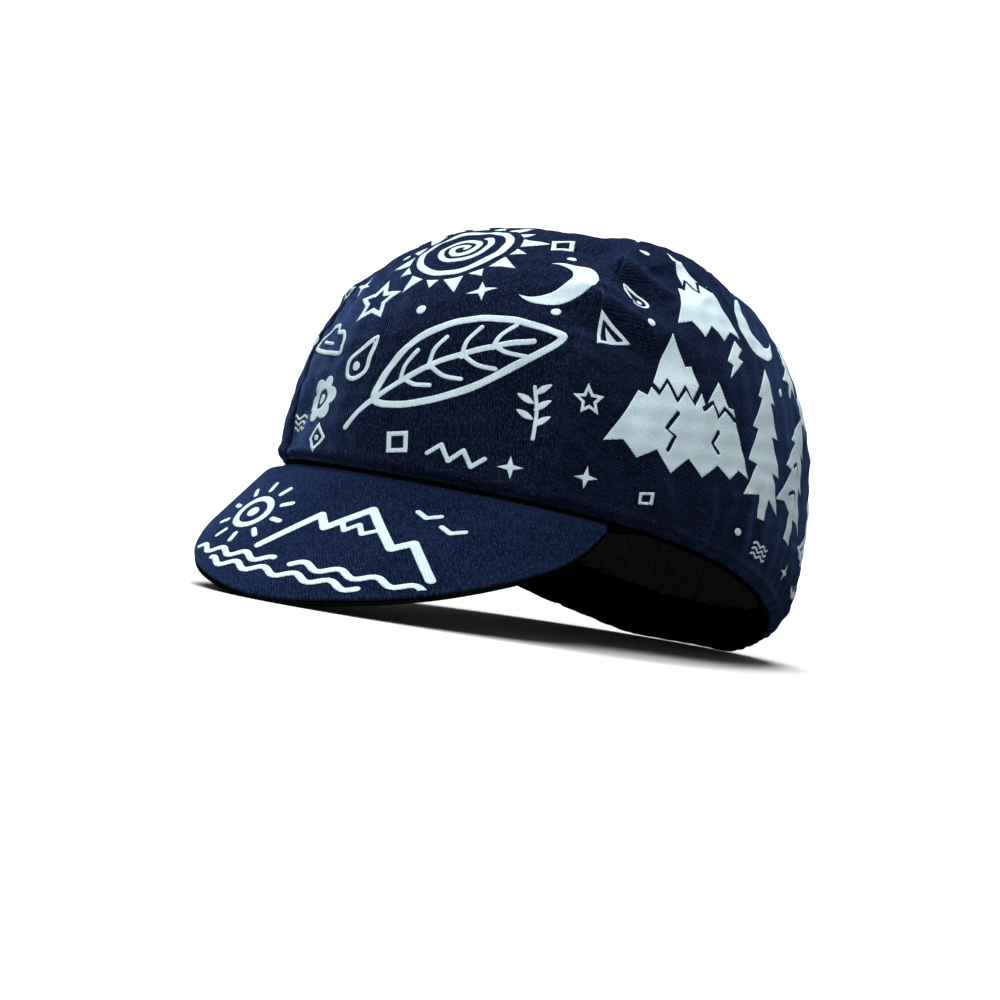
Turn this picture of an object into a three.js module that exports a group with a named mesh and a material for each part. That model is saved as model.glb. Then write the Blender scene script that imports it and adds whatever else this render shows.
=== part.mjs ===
// A cycling cap of thin cotton twill: four gores sewn into a crown, a sweatband whose lower
// edge is turned out below them, and a curved peak of two layers of cloth.
// It stands as it would on a table, on the tip of its peak and the back of its rim.
// Millimetres, +Z up. The wearer's front is towards -Y and the wearer's left towards +X.
// Angles go round the head opening from 0 at the front, through 90 at the wearer's left.
import * as THREE from "three";

const DEGREE = Math.PI / 180;

// Head opening and crown
const HALF_WIDTH = 79;
const HALF_LENGTH = 100;
const CROWN_HEIGHT = 102;
const BACK_TUCK = 0.14; // share by which the elastic draws the rim's back in
const RIM_WAVE = 4; // how far the rim dips at the front and back, and lifts at the sides
const CROWN_CLOTH = 1.2;
const SEAM_GAP = 0.3;
const LAYER_GAP = 0.3;
const FRONT_SEAM = 36 * DEGREE; // from the middle of the front gore to its seam
const BACK_SEAM = 38 * DEGREE; // from the middle of the back gore to its seam
const LEFT_BACK_SEAM = Math.PI - BACK_SEAM;
const RIGHT_BACK_SEAM = Math.PI + BACK_SEAM;
const RIGHT_FRONT_SEAM = 2 * Math.PI - FRONT_SEAM;
const CROWN_ROWS = 13;
const APEX_RADIUS = 0.8; // where the four points of the gores stop

// Sweatband
const BAND_HEIGHT = 18;
const BAND_CLOTH = 1.3;
const LIP_DROP = 1.7; // how far its turned edge shows below the crown cloth
const LIP_IN_PEAK = 0.25; // share of the turned edge that is left above the peak
const LIP_ROUNDING = 0.4;
const LIP_FADE = 4 * DEGREE; // stretch past the peak's ends where it comes out in full

// Peak
const PEAK_LENGTH = 63;
const PEAK_CLOTH = 1.3;
const PEAK_DEPTH = 2 * PEAK_CLOTH + LAYER_GAP; // through both of its layers
const PEAK_HALF_ANGLE = 52 * DEGREE; // stretch of the rim that it is sewn to
const PEAK_END = 1 * DEGREE; // clearance from its ends to the band's turned edge
const PEAK_SLOPE = 56 * DEGREE; // down from the plane of the rim
const PEAK_COLUMNS = 26;
const PEAK_ROWS = 4;
const PEAK_FAN = 0.27; // how much of the rim's own turn its sides follow

// Gathers that the elastic makes at the back, and the folds of the crown
const GATHER_COUNT = 22;
const GATHER_DEPTH = 1.6;
const GATHER_HALF_ANGLE = 80 * DEGREE;
const GATHER_HEIGHT = 36;
const GATHER_WANDER = 0.9; // how unevenly they are spaced
const GATHER_START = Math.PI - GATHER_HALF_ANGLE;
const GATHER_END = Math.PI + GATHER_HALF_ANGLE;
const FOLD_DEPTH = 3;

// How the soft rim is pressed where it stands: how deep, how far up the cloth gives way, and
// how much of its turned edge spreads on the floor
const REST_PRESS = 1.7;
const PRESS_HEIGHT = 26;
const LIP_SPREAD = 2.4;

// Crown profile from the rim (up 0) to the apex (up 1). rise is a share of CROWN_HEIGHT, and
// side, front and back are shares of the rim's reach that way. shift is a share of HALF_LENGTH.
const CROWN_PROFILE = [
  { up: 0.0, rise: 0.0, side: 1.0, front: 1.0, back: 1.0, shift: 0.0 },
  { up: 0.1, rise: 0.12, side: 1.02, front: 1.01, back: 1.07, shift: 0.0 },
  { up: 0.22, rise: 0.27, side: 1.01, front: 1.0, back: 1.1, shift: -0.01 },
  { up: 0.36, rise: 0.45, side: 0.97, front: 0.965, back: 1.09, shift: -0.025 },
  { up: 0.5, rise: 0.625, side: 0.9, front: 0.885, back: 1.01, shift: -0.02 },
  { up: 0.64, rise: 0.79, side: 0.78, front: 0.75, back: 0.86, shift: 0.0 },
  { up: 0.78, rise: 0.925, side: 0.59, front: 0.54, back: 0.62, shift: 0.015 },
  { up: 0.9, rise: 0.99, side: 0.31, front: 0.28, back: 0.31, shift: 0.02 },
  { up: 1.0, rise: 1.0, side: 0.0, front: 0.0, back: 0.0, shift: 0.02 },
];

// Outline of the peak, from its middle (across 0) to its ends. length is a share of PEAK_LENGTH.
// The first row lies on the other side of the middle, and keeps the outline smooth there.
const PEAK_OUTLINE = [
  { across: -0.3, length: 0.92 },
  { across: 0.0, length: 1.0 },
  { across: 0.3, length: 0.92 },
  { across: 0.55, length: 0.78 },
  { across: 0.75, length: 0.6 },
  { across: 0.9, length: 0.41 },
  { across: 0.97, length: 0.24 },
  { across: 1.0, length: 0.05 },
];

// Folds and hollows. angle is round the rim in degrees and up as above. length and width are
// shares of CROWN_HEIGHT, depth is a share of FOLD_DEPTH, a hollow's being negative, and lean
// turns the fold from the line that runs up to the apex, in degrees.
const FOLDS = [
  { angle: 29, up: 0.72, length: 0.13, width: 0.07, depth: -0.9, lean: 20 },
  { angle: 42, up: 0.62, length: 0.11, width: 0.06, depth: -0.9, lean: -35 },
  { angle: 36, up: 0.72, length: 0.1, width: 0.03, depth: 0.6, lean: -30 },
  { angle: 43, up: 0.67, length: 0.12, width: 0.03, depth: 0.8, lean: 115 },
  { angle: 44, up: 0.74, length: 0.12, width: 0.03, depth: 0.7, lean: 50 },
  { angle: 42, up: 0.53, length: 0.2, width: 0.045, depth: 0.7, lean: 100 },
  { angle: 44, up: 0.46, length: 0.2, width: 0.05, depth: -0.5, lean: 100 },
  { angle: 78, up: 0.84, length: 0.15, width: 0.05, depth: -0.6, lean: -10 },
  { angle: 104, up: 0.86, length: 0.17, width: 0.04, depth: 0.75, lean: 6 },
  { angle: 28, up: 0.25, length: 0.2, width: 0.1, depth: -0.5, lean: 8 },
  { angle: -29, up: 0.12, length: 0.16, width: 0.08, depth: -0.4, lean: 40 },
  { angle: 54, up: 0.1, length: 0.16, width: 0.05, depth: -0.4, lean: -35 },
  { angle: 59, up: 0.13, length: 0.16, width: 0.05, depth: 0.4, lean: -35 },
  { angle: 74, up: 0.07, length: 0.14, width: 0.04, depth: 0.35, lean: 10 },
  { angle: 84, up: 0.09, length: 0.16, width: 0.05, depth: 0.35, lean: -12 },
  { angle: -35, up: 0.76, length: 0.16, width: 0.05, depth: -0.7, lean: -8 },
  { angle: -44, up: 0.7, length: 0.15, width: 0.04, depth: 0.6, lean: -60 },
  { angle: -80, up: 0.84, length: 0.15, width: 0.05, depth: -0.6, lean: 12 },
  { angle: -110, up: 0.86, length: 0.16, width: 0.04, depth: 0.7, lean: -5 },
  { angle: -56, up: 0.5, length: 0.2, width: 0.06, depth: 0.5, lean: -80 },
  { angle: -70, up: 0.1, length: 0.17, width: 0.06, depth: 0.4, lean: 14 },
  { angle: 168, up: 0.82, length: 0.15, width: 0.05, depth: -0.6, lean: 0 },
  { angle: -158, up: 0.84, length: 0.14, width: 0.045, depth: 0.6, lean: 0 },
];

// The value in a column of a table at a place between its rows, on a smooth curve that
// passes through each row.
function between(rows, column, key, at) {
  let i = rows.findIndex((row) => row[key] > at) - 1;
  if (i < 0) i = at < rows[0][key] ? 0 : rows.length - 2;
  const slope = (a, b) =>
    (rows[b][column] - rows[a][column]) / (rows[b][key] - rows[a][key]);
  const span = rows[i + 1][key] - rows[i][key];
  const first = i > 0 ? slope(i - 1, i + 1) : slope(i, i + 1);
  const last = i + 2 < rows.length ? slope(i, i + 2) : slope(i, i + 1);
  const t = (at - rows[i][key]) / span;
  const blend = t * t * (3 - 2 * t);
  return (
    rows[i][column] * (1 - blend) +
    rows[i + 1][column] * blend +
    span * first * t * (1 - t) * (1 - t) -
    span * last * t * t * (1 - t)
  );
}

const profile = (column, up) => between(CROWN_PROFILE, column, "up", up);

// The angle between two directions round the rim, from -180 to 180 degrees.
function turnBetween(a, b) {
  return Math.atan2(Math.sin(a - b), Math.cos(a - b));
}

// A smooth step from 1 at zero to 0 at one and beyond.
function fade(share) {
  const t = Math.min(Math.max(share, 0), 1);
  return 1 - t * t * (3 - 2 * t);
}

// The crown's smooth outer surface, before folds and gathers.
function crownSurface(angle, up) {
  const front = Math.cos(angle);
  const side = Math.sin(angle);
  const reach = front > 0 ? profile("front", up) : profile("back", up);
  return new THREE.Vector3(
    HALF_WIDTH * side * (1 + BACK_TUCK * front) * profile("side", up),
    HALF_LENGTH * (profile("shift", up) - front * reach),
    CROWN_HEIGHT * profile("rise", up) -
      RIM_WAVE * Math.cos(2 * angle) * (1 - up) ** 2,
  );
}

// Unit vectors at a place on the crown: up the cloth, and out of it.
function crownDirections(angle, up) {
  const step = 1e-3;
  const at = Math.min(up, 1 - 2 * step);
  const along = crownSurface(angle, at + step).sub(crownSurface(angle, at));
  const round = crownSurface(angle + step, at).sub(
    crownSurface(angle - step, at),
  );
  return {
    climb: along.clone().normalize(),
    out: round.cross(along).normalize(),
  };
}

// Length of the cloth from rim to apex at an angle, measured on its chords.
function climbLength(angle) {
  let length = 0;
  for (let i = 1; i < CROWN_PROFILE.length; i++)
    length += crownSurface(angle, CROWN_PROFILE[i].up).distanceTo(
      crownSurface(angle, CROWN_PROFILE[i - 1].up),
    );
  return length;
}

const CLIMB = climbLength(Math.PI / 2);

function foldHeight(angle, up) {
  let height = 0;
  const girth = ((HALF_WIDTH + HALF_LENGTH) / 2) * profile("side", up);
  for (const fold of FOLDS) {
    const across = turnBetween(angle, fold.angle * DEGREE) * girth;
    const along = (up - fold.up) * CLIMB;
    const lean = fold.lean * DEGREE;
    const u = along * Math.cos(lean) + across * Math.sin(lean);
    const v = across * Math.cos(lean) - along * Math.sin(lean);
    const far =
      (u / (fold.length * CROWN_HEIGHT)) ** 2 +
      (v / (fold.width * CROWN_HEIGHT)) ** 2;
    height += fold.depth * FOLD_DEPTH * Math.exp(-far);
  }
  return height;
}

function gatherHeight(angle, up) {
  const turn = turnBetween(angle, Math.PI);
  const share = turn / GATHER_HALF_ANGLE;
  const wander = GATHER_WANDER * Math.sin(5 * share);
  const wave = Math.cos(Math.PI * GATHER_COUNT * share + wander);
  const strength =
    fade(Math.abs(share) ** 3) * fade((up * CLIMB) / GATHER_HEIGHT);
  return GATHER_DEPTH * 0.5 * wave * strength;
}

// A point on the folded cloth, or the given depth inside it, before its rim is pressed.
function hangingPoint(angle, up, depth) {
  const { out } = crownDirections(angle, up);
  const height = foldHeight(angle, up) + gatherHeight(angle, up) - depth;
  return crownSurface(angle, up).addScaledVector(out, height);
}

// A point below the rim, down the line of the cloth, before the rim is pressed.
function hangingRim(angle, drop, depth) {
  const { climb } = crownDirections(angle, 0);
  return hangingPoint(angle, 0, depth).addScaledVector(climb, -drop);
}

// The peak's upper surface. across goes from -1 to 1 along its seam and out from 0 to 1.
function peakSurface(across, out) {
  const angle = across * PEAK_HALF_ANGLE;
  const turn = PEAK_FAN * angle;
  const run = new THREE.Vector3(
    Math.sin(turn) * Math.cos(PEAK_SLOPE),
    -Math.cos(turn) * Math.cos(PEAK_SLOPE),
    -Math.sin(PEAK_SLOPE),
  );
  const share = between(PEAK_OUTLINE, "length", "across", Math.abs(across));
  const start = hangingRim(angle, LAYER_GAP, -LAYER_GAP);
  return start.addScaledVector(run, out * share * PEAK_LENGTH);
}

function peakPoint(across, out, depth) {
  const step = 1e-3;
  const low = Math.min(Math.max(across, step - 1), 1 - step);
  const round = peakSurface(low + step, out).sub(peakSurface(low - step, out));
  const along = peakSurface(across, 1).sub(peakSurface(across, 0));
  const under = round.cross(along).normalize();
  return peakSurface(across, out).addScaledVector(under, depth);
}

// The lean, in the plane of Y and Z, at which the cap stands on its peak and its pressed rim
// at once, with the direction up from the floor and the floor's level along it.
function findRest() {
  const direction = (lean) => new THREE.Vector3(0, -Math.sin(lean), Math.cos(lean));
  const tip = peakPoint(0, 1, PEAK_DEPTH);
  const hem = hangingRim(Math.PI, LAYER_GAP + LIP_DROP, LIP_ROUNDING);
  let low = 0;
  let high = 40 * DEGREE;
  for (let i = 0; i < 40; i++) {
    const lean = (low + high) / 2;
    const up = direction(lean);
    if (hem.dot(up) + REST_PRESS > tip.dot(up)) low = lean;
    else high = lean;
  }
  return { lean: low, up: direction(low), floor: tip.dot(direction(low)) };
}

const REST = findRest();

// How far the floor lifts the rim at an angle.
function rimLift(angle) {
  const hem = hangingRim(angle, LAYER_GAP + LIP_DROP, LIP_ROUNDING);
  return Math.max(REST.floor - hem.dot(REST.up), 0);
}

// The same two points once the rim is pressed.
function crownPoint(angle, up, depth = 0) {
  const lift = rimLift(angle) * fade((up * CLIMB) / PRESS_HEIGHT);
  return hangingPoint(angle, up, depth).addScaledVector(REST.up, lift);
}

function rimPoint(angle, drop, depth = 0) {
  return hangingRim(angle, drop, depth).addScaledVector(REST.up, rimLift(angle));
}

// The point spread onto the floor if its column of the rim is pressed and it lies near enough.
function spreadPoint(point, angle) {
  const above = point.dot(REST.up) - REST.floor;
  if (rimLift(angle) > 0 && above < LIP_SPREAD)
    point.addScaledVector(REST.up, -above);
  return point;
}

// Indexed triangles of a grid of points, as quads in two.
function gridFaces(rows, columns, wrap, flip) {
  const faces = [];
  const last = wrap ? columns : columns - 1;
  for (let i = 0; i < rows - 1; i++)
    for (let j = 0; j < last; j++) {
      const a = i * columns + j;
      const b = i * columns + ((j + 1) % columns);
      const c = a + columns;
      const d = b + columns;
      faces.push(...(flip ? [a, c, b, b, c, d] : [a, b, c, b, d, c]));
    }
  return faces;
}

function geometryOf(points, faces) {
  return new THREE.BufferGeometry().setFromPoints(points).setIndex(faces);
}

// A closed wall between two grids of points with the same rows and columns.
function wallGeometry(outer, inner) {
  const rows = outer.length;
  const columns = outer[0].length;
  const count = rows * columns;
  const faces = [
    ...gridFaces(rows, columns, false, false),
    ...gridFaces(rows, columns, false, true).map((i) => i + count),
  ];
  const border = [];
  for (let j = 0; j < columns - 1; j++) border.push(j);
  for (let i = 0; i < rows - 1; i++) border.push(i * columns + columns - 1);
  for (let j = columns - 1; j > 0; j--) border.push((rows - 1) * columns + j);
  for (let i = rows - 1; i > 0; i--) border.push(i * columns);
  border.forEach((a, k) => {
    const b = border[(k + 1) % border.length];
    faces.push(a, a + count, b, b, a + count, b + count);
  });
  return geometryOf([...outer.flat(), ...inner.flat()], faces);
}

// A closed ring through a loop of sections, each a closed loop of points.
function ringGeometry(sections) {
  const around = [...sections, sections[0]];
  const size = sections[0].length;
  const faces = gridFaces(around.length, size, true, true).map(
    (i) => i % (sections.length * size),
  );
  return geometryOf(sections.flat(), faces);
}

// Shares from 0 to 1 in equal steps.
function shares(count) {
  return Array.from({ length: count + 1 }, (_, i) => i / count);
}

// Angles from one up to another, without the last, in equal steps.
function spread(from, to, count) {
  return Array.from({ length: count }, (_, i) => from + (i * (to - from)) / count);
}

// The gores from the front one round by the wearer's left, with the angles of their columns
// and of the seam that each ends at.
const GORES = [
  {
    name: "front_gore",
    angles: spread(-FRONT_SEAM, FRONT_SEAM, 20),
    seam: FRONT_SEAM,
  },
  {
    name: "left_gore",
    angles: [
      ...spread(FRONT_SEAM, GATHER_START, 14),
      ...spread(GATHER_START, LEFT_BACK_SEAM, 22),
    ],
    seam: LEFT_BACK_SEAM,
  },
  {
    name: "back_gore",
    angles: spread(LEFT_BACK_SEAM, RIGHT_BACK_SEAM, 42),
    seam: RIGHT_BACK_SEAM,
  },
  {
    name: "right_gore",
    angles: [
      ...spread(RIGHT_BACK_SEAM, GATHER_END, 22),
      ...spread(GATHER_END, RIGHT_FRONT_SEAM, 14),
    ],
    seam: RIGHT_FRONT_SEAM,
  },
];

// Heights of a gore's rows: its rim, the sweatband's middle and top, then equal steps.
function goreRows(count) {
  const band = BAND_HEIGHT / CLIMB;
  const top = 1 - APEX_RADIUS / CLIMB;
  return [0, band / 2, ...shares(count - 2).map((t) => band + t * (top - band))];
}

// One gore. Its edges stop half a gap short of each seam.
function goreGeometry({ angles, seam }) {
  const from = angles[0];
  const middle = (from + seam) / 2;
  const layer = (depth) =>
    goreRows(CROWN_ROWS).map((up) => {
      const trim = SEAM_GAP / 2 / crownSurface(Math.PI / 2, up).x;
      const kept = 1 - (2 * trim) / (seam - from);
      return [...angles, seam].map((angle) =>
        crownPoint(middle + kept * (angle - middle), up, depth),
      );
    });
  return wallGeometry(layer(0), layer(CROWN_CLOTH));
}

// The sweatband: inside the crown, then out below it as a turned edge. Its columns are
// those of the gores, so that both follow the same gathers.
function bandGeometry() {
  const inside = CROWN_CLOTH + LAYER_GAP;
  const heart = inside + BAND_CLOTH;
  const top = BAND_HEIGHT / CLIMB;
  const sections = GORES.flatMap((gore) => gore.angles).map((angle) => {
    const past = Math.abs(turnBetween(angle, 0)) - PEAK_HALF_ANGLE - PEAK_END;
    const turned = 1 - (1 - LIP_IN_PEAK) * fade(past / LIP_FADE);
    const lip = LAYER_GAP + LIP_DROP * turned;
    const edge = inside * (1 - turned);
    return [
      rimPoint(angle, LAYER_GAP, edge),
      rimPoint(angle, LAYER_GAP, inside),
      crownPoint(angle, top / 2, inside),
      crownPoint(angle, top, inside),
      crownPoint(angle, top, heart),
      crownPoint(angle, top / 2, heart),
      rimPoint(angle, LAYER_GAP, heart),
      spreadPoint(rimPoint(angle, lip, heart - LIP_ROUNDING), angle),
      spreadPoint(rimPoint(angle, lip, edge + LIP_ROUNDING), angle),
    ];
  });
  return ringGeometry(sections);
}

// One layer of the peak between two depths below its upper surface.
function peakGeometry(from, to) {
  const layer = (depth) =>
    shares(PEAK_ROWS)
      .reverse()
      .map((out) =>
        shares(PEAK_COLUMNS).map((s) =>
          peakPoint(Math.sin((s - 0.5) * Math.PI), out, depth),
        ),
      );
  return wallGeometry(layer(from), layer(to));
}

function cloth(colour, roughness) {
  return new THREE.MeshStandardMaterial({
    color: colour,
    roughness,
    metalness: 0,
  });
}

const navyTwill = cloth(0x1c2a54, 0.85);
const blackTwill = cloth(0x0b0b0d, 0.9);

const geometries = {
  ...Object.fromEntries(GORES.map((gore) => [gore.name, goreGeometry(gore)])),
  sweatband: bandGeometry(),
  peak_top: peakGeometry(0, PEAK_CLOTH),
  peak_underside: peakGeometry(PEAK_CLOTH + LAYER_GAP, PEAK_DEPTH),
};

const leaning = new THREE.Group();
leaning.rotation.x = -REST.lean;
for (const [name, geometry] of Object.entries(geometries)) {
  geometry.computeVertexNormals();
  const black = name === "sweatband" || name === "peak_underside";
  const mesh = new THREE.Mesh(geometry, black ? blackTwill : navyTwill);
  mesh.name = name;
  leaning.add(mesh);
}

// The origin is under the middle of the cap's own box, on the floor.
const cap = new THREE.Group();
cap.add(leaning);
cap.updateMatrixWorld(true);
const box = new THREE.Box3().setFromObject(cap, true);
leaning.position.set(
  -(box.min.x + box.max.x) / 2,
  -(box.min.y + box.max.y) / 2,
  -box.min.z,
);

export default cap;
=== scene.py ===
# %% [markdown]
# # A printed cycling cap
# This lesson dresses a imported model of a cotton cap. The model already holds the shape and the
# place of each sewn piece. Here every piece is made again as finely folded cloth, with twill,
# seams, gathers and a printed pattern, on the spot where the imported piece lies.

# %% Load the frame
import math

import bpy
import numpy as np
from mathutils import Matrix, Vector
from mathutils.geometry import delaunay_2d_cdt


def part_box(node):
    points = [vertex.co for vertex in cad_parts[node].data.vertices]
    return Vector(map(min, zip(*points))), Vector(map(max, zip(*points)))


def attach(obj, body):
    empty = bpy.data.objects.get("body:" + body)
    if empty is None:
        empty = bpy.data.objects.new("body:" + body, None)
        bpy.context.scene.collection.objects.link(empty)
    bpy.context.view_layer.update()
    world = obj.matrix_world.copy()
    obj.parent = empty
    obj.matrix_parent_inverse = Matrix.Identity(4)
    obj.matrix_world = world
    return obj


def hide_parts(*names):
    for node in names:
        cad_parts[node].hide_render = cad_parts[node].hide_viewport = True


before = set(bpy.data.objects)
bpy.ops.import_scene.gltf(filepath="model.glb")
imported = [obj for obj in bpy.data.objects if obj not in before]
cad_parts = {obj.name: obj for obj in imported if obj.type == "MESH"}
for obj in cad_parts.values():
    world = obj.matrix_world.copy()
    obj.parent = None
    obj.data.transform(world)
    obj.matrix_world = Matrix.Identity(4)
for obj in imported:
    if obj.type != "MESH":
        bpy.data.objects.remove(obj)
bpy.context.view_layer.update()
print("packed nodes:", sorted(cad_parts))

# %% [markdown]
# ## Sizes
# The cap is easiest to describe as it is worn, with the rim level and the front towards -Y.
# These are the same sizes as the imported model's. Lengths are in metres, and angles go round
# the rim from 0 at the front through 90 degrees at the wearer's left.

# %% Name the sizes
MM = 0.001
DEGREE = math.pi / 180

HALF_WIDTH = 79 * MM
HALF_LENGTH = 100 * MM
CROWN_HEIGHT = 102 * MM
BACK_TUCK = 0.14
RIM_WAVE = 4 * MM
CROWN_CLOTH = 1.2 * MM
FRONT_SEAM = 36 * DEGREE
BACK_SEAM = 38 * DEGREE
LAYER_GAP = 0.3 * MM

BAND_HEIGHT = 18 * MM
BAND_CLOTH = 1.3 * MM
LIP_DROP = 1.7 * MM
LIP_ROUNDING = 0.4 * MM

PEAK_LENGTH = 63 * MM
PEAK_CLOTH = 1.3 * MM
PEAK_DEPTH = 2 * PEAK_CLOTH + LAYER_GAP
PEAK_HALF_ANGLE = 52 * DEGREE
PEAK_SLOPE = 56 * DEGREE
PEAK_FAN = 0.27

REST_PRESS = 1.7 * MM
PRESS_HEIGHT = 26 * MM

# Each column is a share, from the rim (up 0) to the apex (up 1).
CROWN_PROFILE = {
    "up": (0, 0.1, 0.22, 0.36, 0.5, 0.64, 0.78, 0.9, 1),
    "rise": (0, 0.12, 0.27, 0.45, 0.625, 0.79, 0.925, 0.99, 1),
    "side": (1, 1.02, 1.01, 0.97, 0.9, 0.78, 0.59, 0.31, 0),
    "front": (1, 1.01, 1, 0.965, 0.885, 0.75, 0.54, 0.28, 0),
    "back": (1, 1.07, 1.1, 1.09, 1.01, 0.86, 0.62, 0.31, 0),
    "shift": (0, 0, -0.01, -0.025, -0.02, 0, 0.015, 0.02, 0.02),
}
PEAK_OUTLINE = {
    "across": (-0.3, 0, 0.3, 0.55, 0.75, 0.9, 0.97, 1),
    "length": (0.92, 1, 0.92, 0.78, 0.6, 0.41, 0.24, 0.05),
}
print("crown profile rows:", len(CROWN_PROFILE["up"]))

# %% [markdown]
# ## The crown as a surface
# A cap's crown is a soft dome, so it is written as a function: give it an angle round the rim
# and a share of the way up, and it gives a point. Working on whole arrays of angles at once
# keeps it fast. A smooth curve through a short table gives each share between the rows.

# %% Define the smooth crown
def between(table, column, key, at):
    keys = np.array(table[key], float)
    values = np.array(table[column], float)
    at = np.asarray(at, float)
    i = np.clip(np.searchsorted(keys, at, side="right") - 1, 0, len(keys) - 2)
    before = np.maximum(i - 1, 0)
    after = np.minimum(i + 2, len(keys) - 1)
    first = (values[i + 1] - values[before]) / (keys[i + 1] - keys[before])
    last = (values[after] - values[i]) / (keys[after] - keys[i])
    span = keys[i + 1] - keys[i]
    t = (at - keys[i]) / span
    blend = t * t * (3 - 2 * t)
    curve = values[i] * (1 - blend) + values[i + 1] * blend
    return curve + span * (first * t * (1 - t) ** 2 - last * t * t * (1 - t))


def profile(column, up):
    return between(CROWN_PROFILE, column, "up", up)


def crown_surface(angle, up):
    front, side = np.cos(angle), np.sin(angle)
    reach = np.where(front > 0, profile("front", up), profile("back", up))
    x = HALF_WIDTH * side * (1 + BACK_TUCK * front) * profile("side", up)
    y = HALF_LENGTH * (profile("shift", up) - front * reach)
    dip = RIM_WAVE * np.cos(2 * angle) * (1 - up) ** 2
    return np.stack([x, y, CROWN_HEIGHT * profile("rise", up) - dip], -1)


def unit(v):
    return v / np.maximum(np.linalg.norm(v, axis=-1, keepdims=True), 1e-12)


def crown_directions(angle, up):
    step = 1e-3
    at = np.minimum(up, 1 - 2 * step)
    along = crown_surface(angle, at + step) - crown_surface(angle, at)
    round_rim = crown_surface(angle + step, at) - crown_surface(angle - step, at)
    return unit(along), unit(np.cross(round_rim, along)), round_rim / (2 * step)


profile_ups = np.array(CROWN_PROFILE["up"], float)
side_rows = crown_surface(np.full(len(profile_ups), math.pi / 2), profile_ups)
CLIMB = float(np.linalg.norm(np.diff(side_rows, axis=0), axis=1).sum())
print(f"cloth from rim to apex: {CLIMB * 1000:.0f} mm")

# %% [markdown]
# ## Folds and gathers
# Sewn cloth is never smooth. A fold is a long bump on the surface, so a table of bumps with a
# place, a size, a depth and a lean gives the folds. The elastic at the back draws the cloth
# into many small upright gathers, which fade out upwards. The four points of the panels pull
# the cloth into short puckers round the apex.

# %% Define folds, gathers and puckers
FOLD_DEPTH = 3.8 * MM
# Angle and lean are in degrees. Length and width are shares of the crown height, and depth is
# a share of the fold depth. A hollow's depth is negative.
FOLD_COLUMNS = ("angle", "up", "length", "width", "depth", "lean")
FOLDS = (
    (27, 0.71, 0.13, 0.07, -0.45, 20),
    (42, 0.61, 0.11, 0.06, -0.55, -35),
    (36, 0.72, 0.1, 0.03, 0.25, -30),
    (43, 0.67, 0.12, 0.03, 0.4, 115),
    (46, 0.78, 0.15, 0.09, 0.5, 50),
    (36, 0.87, 0.16, 0.12, 0.5, 0),
    (42, 0.53, 0.2, 0.045, 0.7, 100),
    (44, 0.46, 0.2, 0.05, -0.5, 100),
    (66, 0.82, 0.2, 0.16, 0.65, -10),
    (84, 0.84, 0.13, 0.04, -0.3, -10),
    (104, 0.86, 0.17, 0.05, 0.5, 6),
    (118, 0.34, 0.45, 0.24, -0.6, 0),
    (28, 0.25, 0.2, 0.1, -0.5, 8),
    (-29, 0.12, 0.16, 0.08, -0.4, 40),
    (54, 0.1, 0.16, 0.05, -0.4, -35),
    (59, 0.13, 0.16, 0.05, 0.4, -35),
    (74, 0.07, 0.14, 0.04, 0.35, 10),
    (84, 0.09, 0.16, 0.05, 0.35, -12),
    (-35, 0.76, 0.16, 0.05, -0.7, -8),
    (-44, 0.7, 0.15, 0.04, 0.2, -60),
    (-80, 0.84, 0.15, 0.05, -0.3, 12),
    (-110, 0.86, 0.16, 0.04, 0.4, -5),
    (-56, 0.5, 0.2, 0.06, 0.5, -80),
    (-70, 0.1, 0.17, 0.06, 0.4, 14),
    (168, 0.82, 0.15, 0.05, -0.6, 0),
    (-158, 0.84, 0.14, 0.045, 0.6, 0),
)
GATHER_COUNT = 32
GATHER_DEPTH = 2.1 * MM
GATHER_HALF_ANGLE = 86 * DEGREE
GATHER_HEIGHT = 40 * MM
HEM_HEIGHT = 11 * MM
PUCKER_DEPTH = 0.4 * MM
PUCKER_RING = 16 * MM
PUCKER_REACH = 7 * MM
APEX_PINCH = 0.5 * MM
APEX_PINCH_WIDTH = 4 * MM


def turn_between(a, b):
    return np.arctan2(np.sin(a - b), np.cos(a - b))


def fade(share):
    t = np.clip(share, 0, 1)
    return 1 - t * t * (3 - 2 * t)


def fold_height(angle, up):
    girth = (HALF_WIDTH + HALF_LENGTH) / 2 * profile("side", up)
    height = np.zeros(np.broadcast(angle, up).shape)
    for row in FOLDS:
        fold = dict(zip(FOLD_COLUMNS, row))
        across = turn_between(angle, fold["angle"] * DEGREE) * girth
        along = (up - fold["up"]) * CLIMB
        lean = fold["lean"] * DEGREE
        u = along * math.cos(lean) + across * math.sin(lean)
        v = across * math.cos(lean) - along * math.sin(lean)
        far = (u / (fold["length"] * CROWN_HEIGHT)) ** 2
        far = far + (v / (fold["width"] * CROWN_HEIGHT)) ** 2
        height = height + fold["depth"] * FOLD_DEPTH * np.exp(-far)
    return height


def gather_height(angle, up):
    share = turn_between(angle, math.pi) / GATHER_HALF_ANGLE
    phase = math.pi * GATHER_COUNT * share + 0.9 * np.sin(5 * share)
    wave = 2.1 * np.abs(np.cos(phase / 2)) ** 1.3 - 1.1
    ripple = 0.25 * np.sin(2.7 * phase + 9 * share)
    strength = fade(np.abs(share) ** 3) * fade(up * CLIMB / GATHER_HEIGHT)
    hem = 0.15 + 1.0 * (1 - fade(up * CLIMB / HEM_HEIGHT))
    return GATHER_DEPTH * 0.5 * (wave + ripple) * strength * hem


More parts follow.
